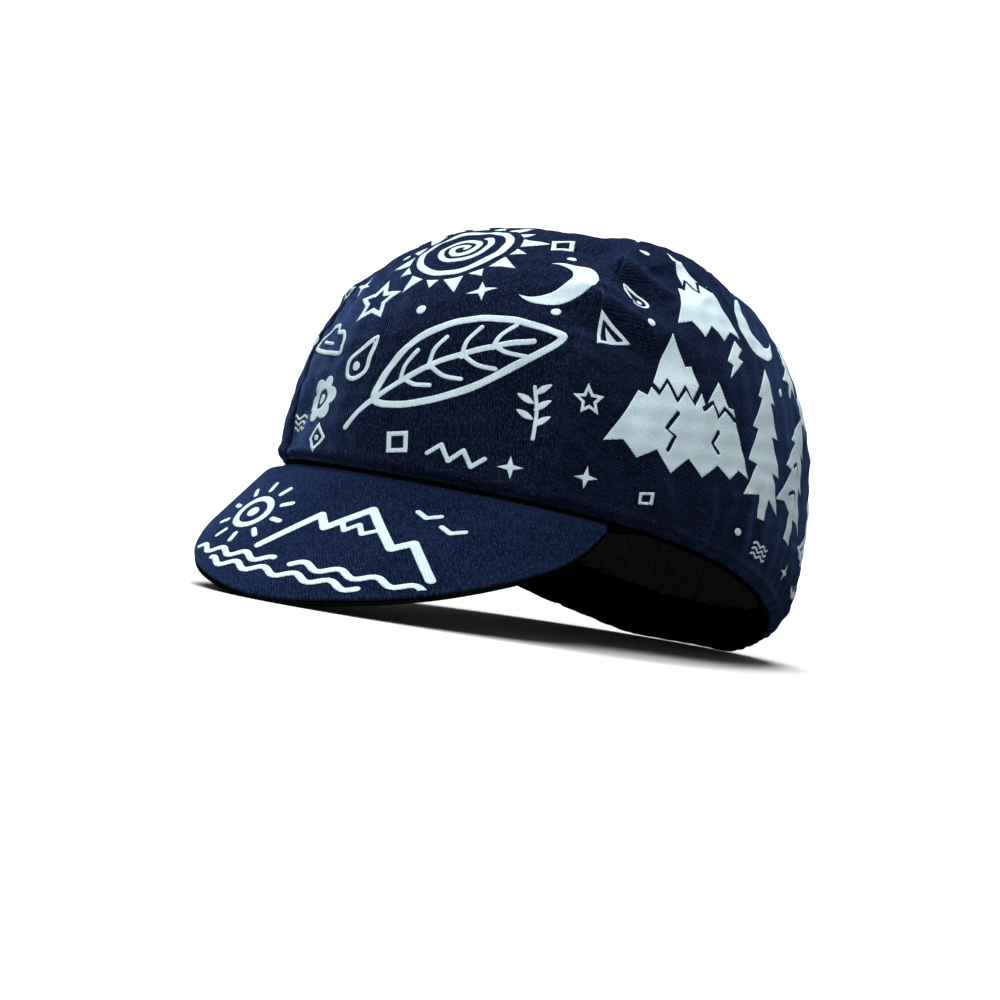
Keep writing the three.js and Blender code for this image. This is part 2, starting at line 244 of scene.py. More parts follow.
def pucker_height(angle, up):
    away = (1 - up) * CLIMB
    ring = np.exp(-(((away - PUCKER_RING) / PUCKER_REACH) ** 2))
    spokes = np.sin(11 * angle + 1.3 * np.sin(3 * angle)) + 0.5 * np.sin(17 * angle + 1)
    pinch = APEX_PINCH * np.exp(-((away / APEX_PINCH_WIDTH) ** 2))
    return PUCKER_DEPTH * spokes * ring - pinch


print("folds:", len(FOLDS), "gathers:", GATHER_COUNT)

# %% [markdown]
# ## Creases
# Cloth that is pulled or squashed also makes sharp creases, which a round bump can't give. A
# crease is a path of points, each an angle and a share of the way up, with a width and a
# height in millimetres. Its crest is a narrow ridge on a broad foot, as in pinched cotton.
# Where ridges meet, the highest one counts, so that a meeting point doesn't grow into a spike.
# Crossing waves of a few tenths of a millimetre stand for the rumples left by packing.

# %% Define creases
# Width and height in millimetres, then the path as pairs of an angle in degrees and a share.
CREASES = (
    (1.1, 1.3, ((30, 0.8), (33, 0.73), (37, 0.685), (40, 0.671))),
    (1.0, 1.4, ((40, 0.671), (44, 0.705), (49, 0.74), (53, 0.75))),
    (1.0, 1.5, ((40, 0.671), (45.5, 0.651), (49, 0.635), (53, 0.63))),
    (0.9, 1.2, ((45.5, 0.651), (48, 0.61), (49, 0.585))),
    (3.0, -1.1, ((43, 0.69), (50, 0.7))),
    (2.6, -1.3, ((38, 0.64), (44, 0.615), (50, 0.59))),
    (4.5, -1.4, ((14, 0.69), (21, 0.72), (29, 0.75))),
    (1.0, 0.9, ((60, 0.8), (68, 0.76), (72, 0.7))),
    (2.0, 1.6, ((31, 0.565), (37, 0.545), (44, 0.515), (52, 0.485))),
    (1.0, 1.1, ((33, 0.59), (38, 0.6), (43, 0.585))),
    (4.5, -1.2, ((36, 0.485), (44, 0.46), (52, 0.43))),
    (2.2, 0.8, ((36, 0.6), (41, 0.575), (46, 0.53))),
    (3.0, 0.9, ((52, 0.6), (60, 0.63), (66, 0.7))),
    (4.0, 0.9, ((37, 0.37), (43, 0.31), (52, 0.22))),
    (5.0, -0.8, ((38, 0.3), (46, 0.23), (54, 0.15))),
    (3.6, 0.7, ((37, 0.2), (46, 0.13), (55, 0.1))),
    (2.2, 0.7, ((57, 0.15), (62, 0.09), (66, 0.03))),
    (2.4, 0.9, ((72, 0.15), (73, 0.07), (72.5, 0.01))),
    (2.6, -0.8, ((75, 0.15), (75.5, 0.07), (75, 0.01))),
    (2.4, 0.9, ((78, 0.17), (78, 0.08), (77.5, 0.01))),
    (2.8, 0.8, ((84, 0.2), (85, 0.1), (84, 0.01))),
    (3.0, 0.8, ((90, 0.24), (91, 0.12), (90, 0.01))),
    (6.0, -1.2, ((26, 0.3), (29, 0.22), (30, 0.12))),
    (5.0, 0.9, ((22, 0.42), (24, 0.3), (23, 0.18))),
    (4.0, -1.0, ((-24, 0.5), (-29, 0.44), (-33, 0.36))),
    (5.0, -1.2, ((-26, 0.16), (-30, 0.11), (-34, 0.05))),
    (3.0, 0.9, ((-20, 0.7), (-28, 0.66), (-34, 0.65))),
    (1.2, 0.9, ((-36, 0.7), (-42, 0.66), (-50, 0.65))),
    (1.2, 0.7, ((-37, 0.69), (-43, 0.74), (-50, 0.8))),
    (3.4, -1.3, ((-41, 0.69), (-49, 0.71))),
    (3.0, 1.0, ((-38, 0.5), (-46, 0.46), (-56, 0.45))),
    (4.0, 0.8, ((-38, 0.3), (-46, 0.22), (-56, 0.15))),
    (2.6, 0.8, ((-74, 0.18), (-75, 0.08), (-74, 0.01))),
    (2.6, 0.8, ((-84, 0.2), (-86, 0.1), (-85, 0.01))),
    (3.0, 1.1, ((142, 0.74), (150, 0.7), (158, 0.69))),
    (3.0, 1.0, ((218, 0.72), (210, 0.67), (203, 0.66))),
    (3.4, 0.9, ((146, 0.5), (154, 0.46), (164, 0.46))),
    (3.4, 0.9, ((212, 0.46), (204, 0.41), (196, 0.4))),
    (3.2, 0.9, ((108, 0.52), (116, 0.47), (128, 0.46))),
    (3.2, 0.9, ((-104, 0.55), (-116, 0.5), (-128, 0.5))),
)


def crease_height(angle, up):
    girth = (HALF_WIDTH + HALF_LENGTH) / 2 * profile("side", up)
    ridges = np.zeros(np.broadcast(angle, up).shape)
    hollows = ridges
    for width, rise, path in CREASES:
        nearest = np.full(ridges.shape, 1.0)
        first = path[0][0]
        turn = turn_between(angle, first * DEGREE)
        places = []
        for degrees, share in path:
            x = ((degrees - first) * DEGREE - turn) * girth
            places.append((x, (share - up) * CLIMB))
        for (ax, ay), (bx, by) in zip(places[:-1], places[1:]):
            length = np.maximum((bx - ax) ** 2 + (by - ay) ** 2, 1e-12)
            t = np.clip(-(ax * (bx - ax) + ay * (by - ay)) / length, 0, 1)
            far = np.hypot(ax + t * (bx - ax), ay + t * (by - ay))
            nearest = np.minimum(nearest, far)
        share = nearest / (width * MM)
        crest = 0.65 * np.exp(-(share**1.4)) + 0.35 * np.exp(-((share / 2.4) ** 2))
        ridges = np.maximum(ridges, rise * MM * crest)
        hollows = np.minimum(hollows, rise * MM * crest)
    return ridges + hollows


RUMPLE_DEPTH = 0.3 * MM


def rumple_height(angle, up):
    x, y = angle, up * CLIMB / MM
    slow = np.sin(18 * x + 0.13 * y + 1) + np.sin(0.17 * y - 10 * x + 4)
    quick = np.sin(38 * x - 0.31 * y + 2 * np.sin(0.09 * y)) * np.sin(0.37 * y + 17 * x)
    return RUMPLE_DEPTH * (0.5 * slow + 0.7 * quick) * fade(up**6)


print("creases:", len(CREASES))

# %% [markdown]
# ## Seams
# Where two panels are sewn together, the cloth rolls down into the stitch line, and the thread
# draws it into small ripples on both sides. The distance from each point to its nearest seam
# gives the narrow groove and the ripples. Near the apex four seams meet, and there the grooves
# are shallow. At the rim the cloth rolls under in the same way.

# %% Define the seams
SEAMS = (FRONT_SEAM, math.pi - BACK_SEAM, math.pi + BACK_SEAM, -FRONT_SEAM)
SEAM_ROLL = 1.4 * MM
SEAM_WIDTH = 0.8 * MM
SEAM_PUCKER = 0.42 * MM
SEAM_CALM = 34 * MM
RIPPLE_PITCH = 9 * MM
RIPPLE_REACH = 8 * MM
RIPPLE_START = 1.6 * MM
RIM_ROLL = 1.3 * MM
RIM_ROLL_HEIGHT = 1.5 * MM
RIM_BULGE_PLACE = 3.4 * MM
RIM_BULGE_HEIGHT = 2.2 * MM


def seam_distance(angle, up):
    radius = np.linalg.norm(crown_directions(angle, up)[2], axis=-1)
    turns = [np.abs(turn_between(angle, seam)) for seam in SEAMS]
    return np.min(turns, axis=0) * radius


def seam_height(angle, up):
    near = seam_distance(angle, up)
    apex = np.exp(-(((1 - up) * CLIMB / SEAM_CALM) ** 2))
    groove = -SEAM_ROLL * np.exp(-((near / SEAM_WIDTH) ** 2)) * (1 - 0.85 * apex)
    climb = up * CLIMB
    phase = 2 * math.pi * (climb + 0.5 * near) / RIPPLE_PITCH + 2.4 * np.sin(climb * 95)
    close = np.exp(-near / RIPPLE_REACH) * (1 - np.exp(-near / RIPPLE_START))
    return groove + SEAM_PUCKER * np.sin(phase) * close


def rim_roll_height(up):
    climb = up * CLIMB
    bulge = 0.6 * RIM_ROLL * np.exp(-(((climb - RIM_BULGE_PLACE) / RIM_BULGE_HEIGHT) ** 2))
    return bulge - RIM_ROLL * np.exp(-((climb / RIM_ROLL_HEIGHT) ** 2))


print("seams at", [round(s / DEGREE) for s in SEAMS], "degrees")

# %% [markdown]
# ## The cap as it stands
# By itself the cap stands on the tip of its peak and the back of its rim, and the soft rim is
# pressed a little there. The lean follows from those two points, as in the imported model.
# The function at the end turns a worn point into a point of the frame.

# %% Find the lean and place the worn cap in the frame
def hanging_point(angle, up, depth):
    up = np.asarray(up, float)
    out = crown_directions(angle, np.maximum(up, 0))[1]
    height = fold_height(angle, up) + gather_height(angle, up) - depth
    return crown_surface(angle, up) + out * np.asarray(height)[..., None]


def hanging_rim(angle, drop, depth):
    zero = np.zeros(np.shape(angle))
    climb = crown_directions(angle, zero)[0]
    drop = np.broadcast_to(drop, np.shape(angle))
    return hanging_point(angle, zero, depth) - climb * drop[..., None]


def peak_surface(across, out):
    angle = across * PEAK_HALF_ANGLE
    turn = PEAK_FAN * angle
    level, fall = math.cos(PEAK_SLOPE), -math.sin(PEAK_SLOPE)
    run = [np.sin(turn) * level, -np.cos(turn) * level, np.full(np.shape(turn), fall)]
    share = between(PEAK_OUTLINE, "length", "across", np.abs(across))
    start = hanging_rim(angle, LAYER_GAP, -LAYER_GAP)
    return start + np.stack(run, -1) * (out * share * PEAK_LENGTH)[..., None]


def peak_point(across, out, depth):
    step = 1e-3
    low = np.clip(across, step - 1, 1 - step)
    round_edge = peak_surface(low + step, out) - peak_surface(low - step, out)
    along = peak_surface(across, np.ones(np.shape(across)))
    along = along - peak_surface(across, np.zeros(np.shape(across)))
    under = unit(np.cross(round_edge, along))
    return peak_surface(across, out) + under * np.asarray(depth)[..., None]


def find_rest():
    one = np.ones(1)
    tip = peak_point(0 * one, one, np.array([PEAK_DEPTH]))[0]
    hem = hanging_rim(math.pi * one, LAYER_GAP + LIP_DROP, LIP_ROUNDING)[0]
    low, high = 0.0, 40 * DEGREE
    for _ in range(40):
        lean = (low + high) / 2
        up = np.array([0, -math.sin(lean), math.cos(lean)])
        if hem @ up + REST_PRESS > tip @ up:
            low = lean
        else:
            high = lean
    return low, up, float(tip @ up)


LEAN, FLOOR_UP, FLOOR = find_rest()
turn = Matrix.Rotation(-LEAN, 3, "X")
top_low, top_high = (np.array(corner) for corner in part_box("peak_top"))
edge = peak_point(np.zeros(1), np.ones(1), np.zeros(1))[0]
leaned_edge = np.array(turn @ Vector(edge))
PLACE = np.array([(top_low[0] + top_high[0]) / 2, top_low[1] - leaned_edge[1], -FLOOR])
TURN = np.array(turn)


def to_frame(points):
    return points @ TURN.T + PLACE


print(f"lean {LEAN / DEGREE:.2f} degrees, worn origin at {np.round(PLACE * 1000, 1)} mm")

# %% [markdown]
# ## The camera
# The photograph looks at the cap's left front from a little below its rim, with the camera
# rolled to one side. These angles are given for the worn cap and turned into the frame with
# it, so the camera ends up just above the floor that the cap stands on.

# %% Place the camera
def add_object(name, data):
    thing = bpy.data.objects.new(name, data)
    bpy.context.collection.objects.link(thing)
    return thing


CAMERA_AZIMUTH = 36.1 * DEGREE
CAMERA_ELEVATION = -9.3 * DEGREE
CAMERA_ROLL = -17.0 * DEGREE
CAMERA_DISTANCE = 1.5415
PIXELS_PER_METRE = 3006
CENTRE_IN_PHOTO = (541.5, 550.2)
IMAGE_SIZE = 1000
SENSOR = 36.0


def aim_camera():
    a, e, r = CAMERA_AZIMUTH, CAMERA_ELEVATION, CAMERA_ROLL
    right = np.array([math.cos(a), math.sin(a), 0])
    back = np.array([math.sin(a) * math.cos(e), -math.cos(a) * math.cos(e), math.sin(e)])
    up = np.cross(back, right)
    dx = (IMAGE_SIZE / 2 - CENTRE_IN_PHOTO[0]) / PIXELS_PER_METRE
    dy = (CENTRE_IN_PHOTO[1] - IMAGE_SIZE / 2) / PIXELS_PER_METRE
    image_right = right * math.cos(r) - up * math.sin(r)
    image_up = right * math.sin(r) + up * math.cos(r)
    target = image_right * dx + image_up * dy
    eye = back * CAMERA_DISTANCE
    ahead = unit(target - eye)
    side = unit(np.cross(ahead, image_up))
    axes = np.stack([side, np.cross(side, ahead), -ahead], 1)
    return to_frame(eye), TURN @ axes


camera_data = bpy.data.cameras.new("camera")
camera_data.sensor_width = SENSOR
camera_data.lens = PIXELS_PER_METRE * CAMERA_DISTANCE / IMAGE_SIZE * SENSOR
camera_data.clip_end = 100
camera = add_object("camera", camera_data)
eye, axes = aim_camera()
camera.matrix_world = Matrix.Translation(Vector(eye)) @ Matrix(axes.tolist()).to_4x4()
bpy.context.scene.camera = camera
print(f"lens {camera_data.lens:.0f} mm, eye {np.round(eye, 3)}")

# %% [markdown]
# ## Pressed cloth and cloth coordinates
# The floor lifts the back of the rim a little, and the lift fades out up the cloth. Each panel
# also carries its own coordinates in metres of cloth, across and up from the middle of its
# lower edge. The weave and the prints both use them, so a print bends with its cloth.

# %% Define finished points of the crown
def rim_lift(angle):
    hem = hanging_rim(angle, LAYER_GAP + LIP_DROP, LIP_ROUNDING)
    return np.maximum(FLOOR - hem @ FLOOR_UP, 0)


def crown_point(angle, up, depth, detail=1.0):
    point = hanging_point(angle, up, depth)
    out = crown_directions(angle, up)[1]
    height = seam_height(angle, up) + pucker_height(angle, up) + rim_roll_height(up)
    height = (height + crease_height(angle, up) + rumple_height(angle, up)) * detail
    point = point + out * height[..., None]
    lift = rim_lift(angle) * fade(up * CLIMB / PRESS_HEIGHT)
    return point + FLOOR_UP * lift[..., None]


def rim_point(angle, drop, depth, detail=1.0):
    climb = crown_directions(angle, np.zeros(np.shape(angle)))[0]
    point = crown_point(angle, np.zeros(np.shape(angle)), depth, detail)
    return point - climb * np.asarray(drop)[..., None]


def cloth_coordinates(angle, up, middle):
    centre = np.full(np.shape(angle), middle)
    girth = np.linalg.norm(crown_directions(centre, np.maximum(up, 0))[2], axis=-1)
    return np.stack([turn_between(angle, middle) * girth, up * CLIMB], -1)


def from_cloth(across, climb, middle):
    up = climb / CLIMB
    centre = np.full(np.shape(across), middle)
    girth = np.linalg.norm(crown_directions(centre, up)[2], axis=-1)
    return middle + across / girth, up


print("rim lift at the back: %.1f mm" % (float(rim_lift(np.array([math.pi]))[0]) * 1000))

# %% [markdown]
# ## From grids of points to meshes
# Each piece of cloth is a grid of points bent round on itself: down its outside, round its
# lower fold and up its inside. One helper turns such a grid into a closed mesh, and lifts what
# would sink into the floor. It stores wear, together with a painted highlight on crease crests,
# and inside-or-outside as attributes for the shaders. Another makes the mesh itself, with the
# cloth coordinates as its UV map.

# %% Define the mesh helper
def ring_faces(rows, columns, wrap_columns):
    i = np.arange(rows)
    j = np.arange(columns if wrap_columns else columns - 1)
    i, j = (grid.ravel() for grid in np.meshgrid(i, j, indexing="ij"))
    below, beside = (i + 1) % rows, (j + 1) % columns
    corners = [i * columns + j, i * columns + beside, below * columns + beside]
    return np.stack(corners + [below * columns + j], -1)


def cap_faces(rows, columns, column):
    half = rows // 2
    i = np.arange(half - 1)
    far = rows - 1 - i
    quads = [i, i + 1, far - 1, far]
    return np.stack([q * columns + column for q in quads], -1)


PRESS_DEPTH = 4 * MM


def rest_on_floor(placed):
    lowest = placed[..., 2].min(0)
    lift = np.maximum(-lowest, 0) * np.exp(-(placed[..., 2] - lowest) / PRESS_DEPTH)
    return placed + np.array([0, 0, 1]) * lift[..., None]


def smooth_mesh(name, points, faces, cloth):
    mesh = bpy.data.meshes.new(name)
    mesh.from_pydata(points.tolist(), [], faces.tolist())
    corner = np.zeros(len(mesh.loops), np.int32)
    mesh.loops.foreach_get("vertex_index", corner)
    layer = mesh.uv_layers.new(name="cloth")
    layer.data.foreach_set("uv", cloth[corner].astype(np.float32).ravel())
    mesh.polygons.foreach_set("use_smooth", np.ones(len(mesh.polygons), bool))
    mesh.update()
    print(f"{name}: {len(faces)} faces")
    return mesh


def cloth_mesh(name, points, cloth, wear_and_highlight, inside, wrap_columns=False):
    rows, columns = points.shape[:2]
    faces = [ring_faces(rows, columns, wrap_columns)]
    if not wrap_columns:
        faces.append(cap_faces(rows, columns, 0)[:, ::-1])
        faces.append(cap_faces(rows, columns, columns - 1))
    placed = rest_on_floor(to_frame(points)).reshape(-1, 3)
    mesh = smooth_mesh(name, placed, np.concatenate(faces), cloth.reshape(-1, 2))
    for label, values in (("wear_and_highlight", wear_and_highlight), ("inside", inside)):
        column = mesh.attributes.new(label, "FLOAT", "POINT")
        column.data.foreach_set("value", values.reshape(-1).astype(np.float32))
    piece = add_object(name, mesh)
    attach(piece, "root")
    return piece


def crowded(count, near):
    t = np.linspace(0, 1, 2001)
    density = 1 + 4 * (np.exp(-((t / near) ** 2)) + np.exp(-(((1 - t) / near) ** 2)))
    total = np.concatenate([[0], np.cumsum((density[1:] + density[:-1]) / 2)])
    return np.interp(np.linspace(0, total[-1], count), total, t)


print("five crowded places:", np.round(crowded(5, 0.2), 2))

# %% [markdown]
# ## The four panels of the crown
# A real gore is a pointed panel, cut flat and sewn along its sides. Here its outside, the fold
# at its rim and its inside are one closed loft. Columns crowd towards the seams, where the
# cloth bends most sharply, and the edges roll down until neighbours nearly touch.

# %% Make the gores
GORES = {
    "front_gore": (-FRONT_SEAM, FRONT_SEAM, 180),
    "left_gore": (FRONT_SEAM, math.pi - BACK_SEAM, 230),
    "back_gore": (math.pi - BACK_SEAM, math.pi + BACK_SEAM, 170),
    "right_gore": (math.pi + BACK_SEAM, 2 * math.pi - FRONT_SEAM, 210),
}
GORE_ROWS = 190
GORE_CROWDING = 0.04
SEAM_GAP = 0.004 * MM
APEX_RADIUS = 0.35 * MM
SEAM_WEAR_PLACE = 1.2 * MM
SEAM_WEAR_WIDTH = 1.6 * MM
RIM_WEAR_HEIGHT = 1.2 * MM
# Crease height at which the painted highlight on a crease crest is full.
RIDGE_HIGHLIGHT_HEIGHT = 1.1 * MM


def gore_section():
    outer = (1 - crowded(GORE_ROWS, GORE_CROWDING)) * (1 - APEX_RADIUS / CLIMB)
    bend = np.linspace(0, math.pi, 6)[1:-1]
    fold = CROWN_CLOTH / 2
    up = np.concatenate([outer, 0 * bend, outer[::-1]])
    drop = np.concatenate([0 * outer, fold * np.sin(bend) * 0.6, 0 * outer])
    depth = np.concatenate([0 * outer, fold - fold * np.cos(bend), 0 * outer + CROWN_CLOTH])
    return up, drop, depth


def make_gore(name):
    start, end, columns = GORES[name]
    up, drop, depth = gore_section()
    middle = (start + end) / 2
    share = crowded(columns, GORE_CROWDING)
    trim = SEAM_GAP / 2 / crown_surface(np.full(len(up), math.pi / 2), up)[:, 0]
    trim = np.minimum(trim, 0.12)
    angle = start + trim[:, None] + share[None, :] * (end - start - 2 * trim[:, None])
    ups = np.broadcast_to(up[:, None], angle.shape)
    depths = np.broadcast_to(depth[:, None], angle.shape)
    drops = np.broadcast_to(drop[:, None], angle.shape)
    points = crown_point(angle, ups, depths)
    climb = crown_directions(angle, np.zeros(angle.shape))[0]
    points = points - climb * drops[..., None]
    cloth = cloth_coordinates(angle, ups, middle)
    off_seam = seam_distance(angle, ups) - SEAM_WEAR_PLACE
    near_seam = np.exp(-((off_seam / SEAM_WEAR_WIDTH) ** 2))
    near_rim = np.exp(-((ups * CLIMB / RIM_WEAR_HEIGHT) ** 2))
    # Painted highlight: the crests of the creases are added to the wear mask, so the ridges take the pale
    # navy as if lit.
    crest = np.clip(crease_height(angle, ups) / RIDGE_HIGHLIGHT_HEIGHT, 0, 1) ** 2
    wear_and_highlight = np.clip(near_seam + near_rim, 0, 1) + 3 * crest
    inside = (depths > CROWN_CLOTH * 0.75).astype(float)
    gore = cloth_mesh(name + "_cloth", points, cloth, wear_and_highlight, inside)
    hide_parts(name)
    return gore


gores = {name: make_gore(name) for name in GORES}

# %% [markdown]
# ## The sweatband
# A strip of black rib is sewn round the inside of the rim and turned out below it, so a thin
# black edge shows under the crown. Behind the peak it hangs lower, and shows as the black line
# between crown and peak. It is one closed ring: its section goes out under the crown cloth,
# round the turned edge, up the inside and over the band's soft top.

# %% Make the sweatband
BAND_COLUMNS = 640
PEAK_END = 1 * DEGREE
LIP_FADE = 10 * DEGREE
LIP_IN_PEAK = 0.25
LIP_HANGING = 0.65
HANGING_START = 100 * DEGREE
HANGING_FADE = 40 * DEGREE
TUCK_IN_PEAK = 3.4 * MM
EDGE_SWELL = 0.35 * MM
BAND_PAD = 0.25 * MM
BAND_CURL = 0.4 * MM
FLOOR_SKIN = 0.45 * MM


def band_section(angle):
    from_front = np.abs(turn_between(angle, 0))
    in_peak = fade((from_front - PEAK_HALF_ANGLE - PEAK_END) / LIP_FADE)
    turned = 1 - (1 - LIP_IN_PEAK) * in_peak
    hanging = fade((from_front - HANGING_START) / HANGING_FADE)
    turned = turned * (1 - (1 - LIP_HANGING) * hanging)
    lip = LIP_DROP * turned * (1 - in_peak) + TUCK_IN_PEAK * in_peak
    edge = (CROWN_CLOTH + LAYER_GAP) * (1 - turned)
    inside = CROWN_CLOTH + LAYER_GAP
    heart = inside + BAND_CLOTH
    top = BAND_HEIGHT / CLIMB
    section = []
    for share, bulge in ((0, 0.3), (0.15, -0.05), (0.35, -0.25), (0.5, 0.1), (0.65, -0.25)):
        section.append(("rim", LAYER_GAP + lip * share, edge + bulge * MM, 1.0))
    for share in (0.15, 0.38, 0.62, 0.85):
        swell = EDGE_SWELL * math.sin(math.pi * share)
        section.append(("rim", LAYER_GAP + lip + swell, edge + (heart - edge) * share, 0.8))
    section.append(("rim", LAYER_GAP + lip * 0.6, heart, 0.5))
    for share in (0, 0.08, 0.3, 0.5, 0.7, 0.88, 0.96):
        pad = BAND_PAD * math.sin(math.pi * share)
        section.append(("crown", top * share, heart + pad, 0.5))
    for share in (0.2, 0.5, 0.8):
        curl = top + BAND_CURL / CLIMB * math.sin(math.pi * share)
        section.append(("crown", curl, heart - BAND_CLOTH * share, 0.7))
    for share in (0.96, 0.6, 0.3, 0.02):
        section.append(("crown", top * share, inside, 1.0))
    return section


def make_band():
    angle = np.arange(BAND_COLUMNS) * 2 * math.pi / BAND_COLUMNS
    rows, cloth = [], []
    for kind, place, depth, detail in band_section(angle):
        depth = np.broadcast_to(depth, angle.shape)
        height = np.broadcast_to(place, angle.shape)
        if kind == "rim":
            rows.append(rim_point(angle, height, depth, detail))
            height = -height / CLIMB
        else:
            rows.append(crown_point(angle, height, depth, detail))
        cloth.append(np.stack([angle * HALF_LENGTH, height * CLIMB], -1))
    points = np.stack(rows)
    above = points @ FLOOR_UP - FLOOR
    sunk = np.where((above < FLOOR_SKIN) & (rim_lift(angle) > 0), above, 0)
    points = points - FLOOR_UP * np.minimum(sunk, 0)[..., None]
    blank = np.zeros(points.shape[:2])
    band = cloth_mesh("sweatband_cloth", points, np.stack(cloth), blank, blank, True)
    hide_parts("sweatband")
    return band


band = make_band()

# %% [markdown]
# ## The peak
# The peak is two layers of cloth over a thin stiffener: navy twill above, black below. Only the
# two layers are made here. Each layer is a shell whose front edge is rolled over. The black one
# stands a little proud, so it shows from the front as a fine dark line under the navy edge.
# Along its seam the peak dips under the rolled rim of the crown, which makes the deep crease
# there.

# %% Make the peak's two layers
PEAK_COLUMNS = 190
PEAK_ROWS = 60
PEAK_CROWDING = 0.06
PEAK_DIP = 2.7 * MM
PEAK_DIP_WIDTH = 3.4 * MM
PEAK_WORN_EDGE = 1.5 * MM
PEAK_LAYER_GAP = 0.05 * MM
PEAK_FOLD = 0.6 * MM
PEAK_PIPING = 1.5 * MM
PEAK_SPREAD = PEAK_HALF_ANGLE * HALF_WIDTH


def peak_reach(across):
    return between(PEAK_OUTLINE, "length", "across", np.abs(across)) * PEAK_LENGTH


def peak_edge_out(across):
    step = 2e-3
    low = np.clip(across, step - 1, 1 - step)
    ones = np.ones(np.shape(across))
    edge = peak_surface(low + step, ones) - peak_surface(low - step, ones)
    under = unit(peak_point(low, ones, ones * MM) - peak_surface(low, ones))
    return unit(np.cross(under, edge))


def make_peak(name, node, top, cloth_depth, proud):
    across = np.sin((np.linspace(0, 1, PEAK_COLUMNS) - 0.5) * math.pi)
    out_rows = crowded(PEAK_ROWS, PEAK_CROWDING)
    bend = np.linspace(0, math.pi, 9)[1:-1]
    outward = peak_edge_out(across)
    rows, cloth, wear_and_highlight = [], [], []
    length = peak_reach(across)

    def add(out, depth, extra, worn):
        ones = np.ones(len(across))
        dip = PEAK_DIP * np.exp(-((out * length / PEAK_DIP_WIDTH) ** 2))
        point = peak_point(across, ones * out, ones * depth + dip)
        rows.append(point + outward * extra)
        cloth.append(np.stack([across * PEAK_SPREAD, length * out], -1))
        wear_and_highlight.append(ones * worn)

    for out in out_rows:
        add(out, top, 0, math.exp(-(((1 - out) * PEAK_LENGTH / PEAK_WORN_EDGE) ** 2)))
    for turned in bend:
        depth = top + cloth_depth / 2 * (1 - math.cos(turned))
        add(1, depth, proud * math.sin(turned), 1)
    for out in out_rows[::-1]:
        add(out, top + cloth_depth, 0, 0)
    points = np.stack(rows)
    blank = np.zeros(points.shape[:2])
    piece = cloth_mesh(name, points, np.stack(cloth), np.stack(wear_and_highlight), blank)
    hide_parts(node)
    return piece


peak_top = make_peak("peak_top_cloth", "peak_top", 0, PEAK_CLOTH, PEAK_FOLD)
under_top = PEAK_CLOTH + PEAK_LAYER_GAP
under_depth = PEAK_DEPTH - under_top
peak_under = make_peak(
    "peak_underside_cloth", "peak_underside", under_top, under_depth, PEAK_PIPING
)

# %% [markdown]
# ## Outlines for a screen print
# The cap's cloth is screen printed with pale ink before it is cut. Each printed figure is drawn
# as closed loops in millimetres, some of ink and some left bare inside it. These helpers draw
# the loops: rounds, stars, smooth curves, strokes of a steady width with round ends, and rims.

# %% Define drawing helpers
def polygon(*points):
    return np.array(points, float)


def circle(x, y, radius, count=36):
    turn = np.arange(count) * 2 * math.pi / count
    return np.stack([x + radius * np.cos(turn), y + radius * np.sin(turn)], 1)


def star(x, y, far, near, points, start=90.0):
    turn = start * DEGREE + np.arange(2 * points) * math.pi / points
    radius = np.where(np.arange(2 * points) % 2 == 0, far, near)
    return np.stack([x + radius * np.cos(turn), y + radius * np.sin(turn)], 1)


def smooth(points, closed=True, steps=7):
    points = np.array(points, float)
    count = len(points)
    made = []
    for i in range(count if closed else count - 1):
        if closed:
            a, b, c, d = (points[(i + k) % count] for k in (-1, 0, 1, 2))
        else:
            a, b, c, d = (points[min(max(i + k, 0), count - 1)] for k in (-1, 0, 1, 2))
        for t in np.arange(steps) / steps:
            curve = 2 * b + (c - a) * t + (2 * a - 5 * b + 4 * c - d) * t * t
            made.append((curve + (3 * b - a - 3 * c + d) * t**3) / 2)
    if not closed:
        made.append(points[-1])
    return np.array(made)


def stroke(points, width):
    points = np.array(points, float)
    along = unit(np.gradient(points, axis=0))
    side = np.stack([-along[:, 1], along[:, 0]], 1) * width / 2
    bend = np.linspace(-90, 90, 6)[1:-1] * DEGREE
    ends = []
    for tip, ahead in ((points[-1], along[-1]), (points[0], -along[0])):
        left = np.array([-ahead[1], ahead[0]])
        turns = [ahead * math.cos(b) - left * math.sin(b) for b in bend]
        ends.append(tip + np.array(turns) * width / 2)
    return np.concatenate([points + side, ends[0], (points - side)[::-1], ends[1]])


def ink_stroke(points, width):
    return ("ink", stroke(points, width))


def bare_stroke(points, width):
    return ("bare", stroke(points, width))


def line(points, width):
    return [ink_stroke(np.linspace(a, b, 4), width) for a, b in zip(points[:-1], points[1:])]


def outline(loop, width):
    following = np.roll(loop, -1, 0) - loop
    before = loop - np.roll(loop, 1, 0)
    normal = unit(np.stack([following[:, 1], -following[:, 0]], 1))
    earlier = unit(np.stack([before[:, 1], -before[:, 0]], 1))
    middle = unit(normal + earlier)
    reach = np.clip((middle * normal).sum(1, keepdims=True), 0.45, 1)
    area = (loop[:, 0] * np.roll(loop[:, 1], -1) - np.roll(loop[:, 0], -1) * loop[:, 1]).sum()
    inner = loop - middle / reach * width * (1 if area > 0 else -1)
    return [("ink", loop), ("bare", inner)]


print("points of a stroke:", len(stroke([(0, 0), (5, 0)], 1.5)))

# %% [markdown]
# ## Figures for the print
# The print scatters bold and small figures over the whole cap. All of them are everyday
# outdoor signs of this lesson's own drawing: sun, moon, stars, leaves, waves, peaks and pines.

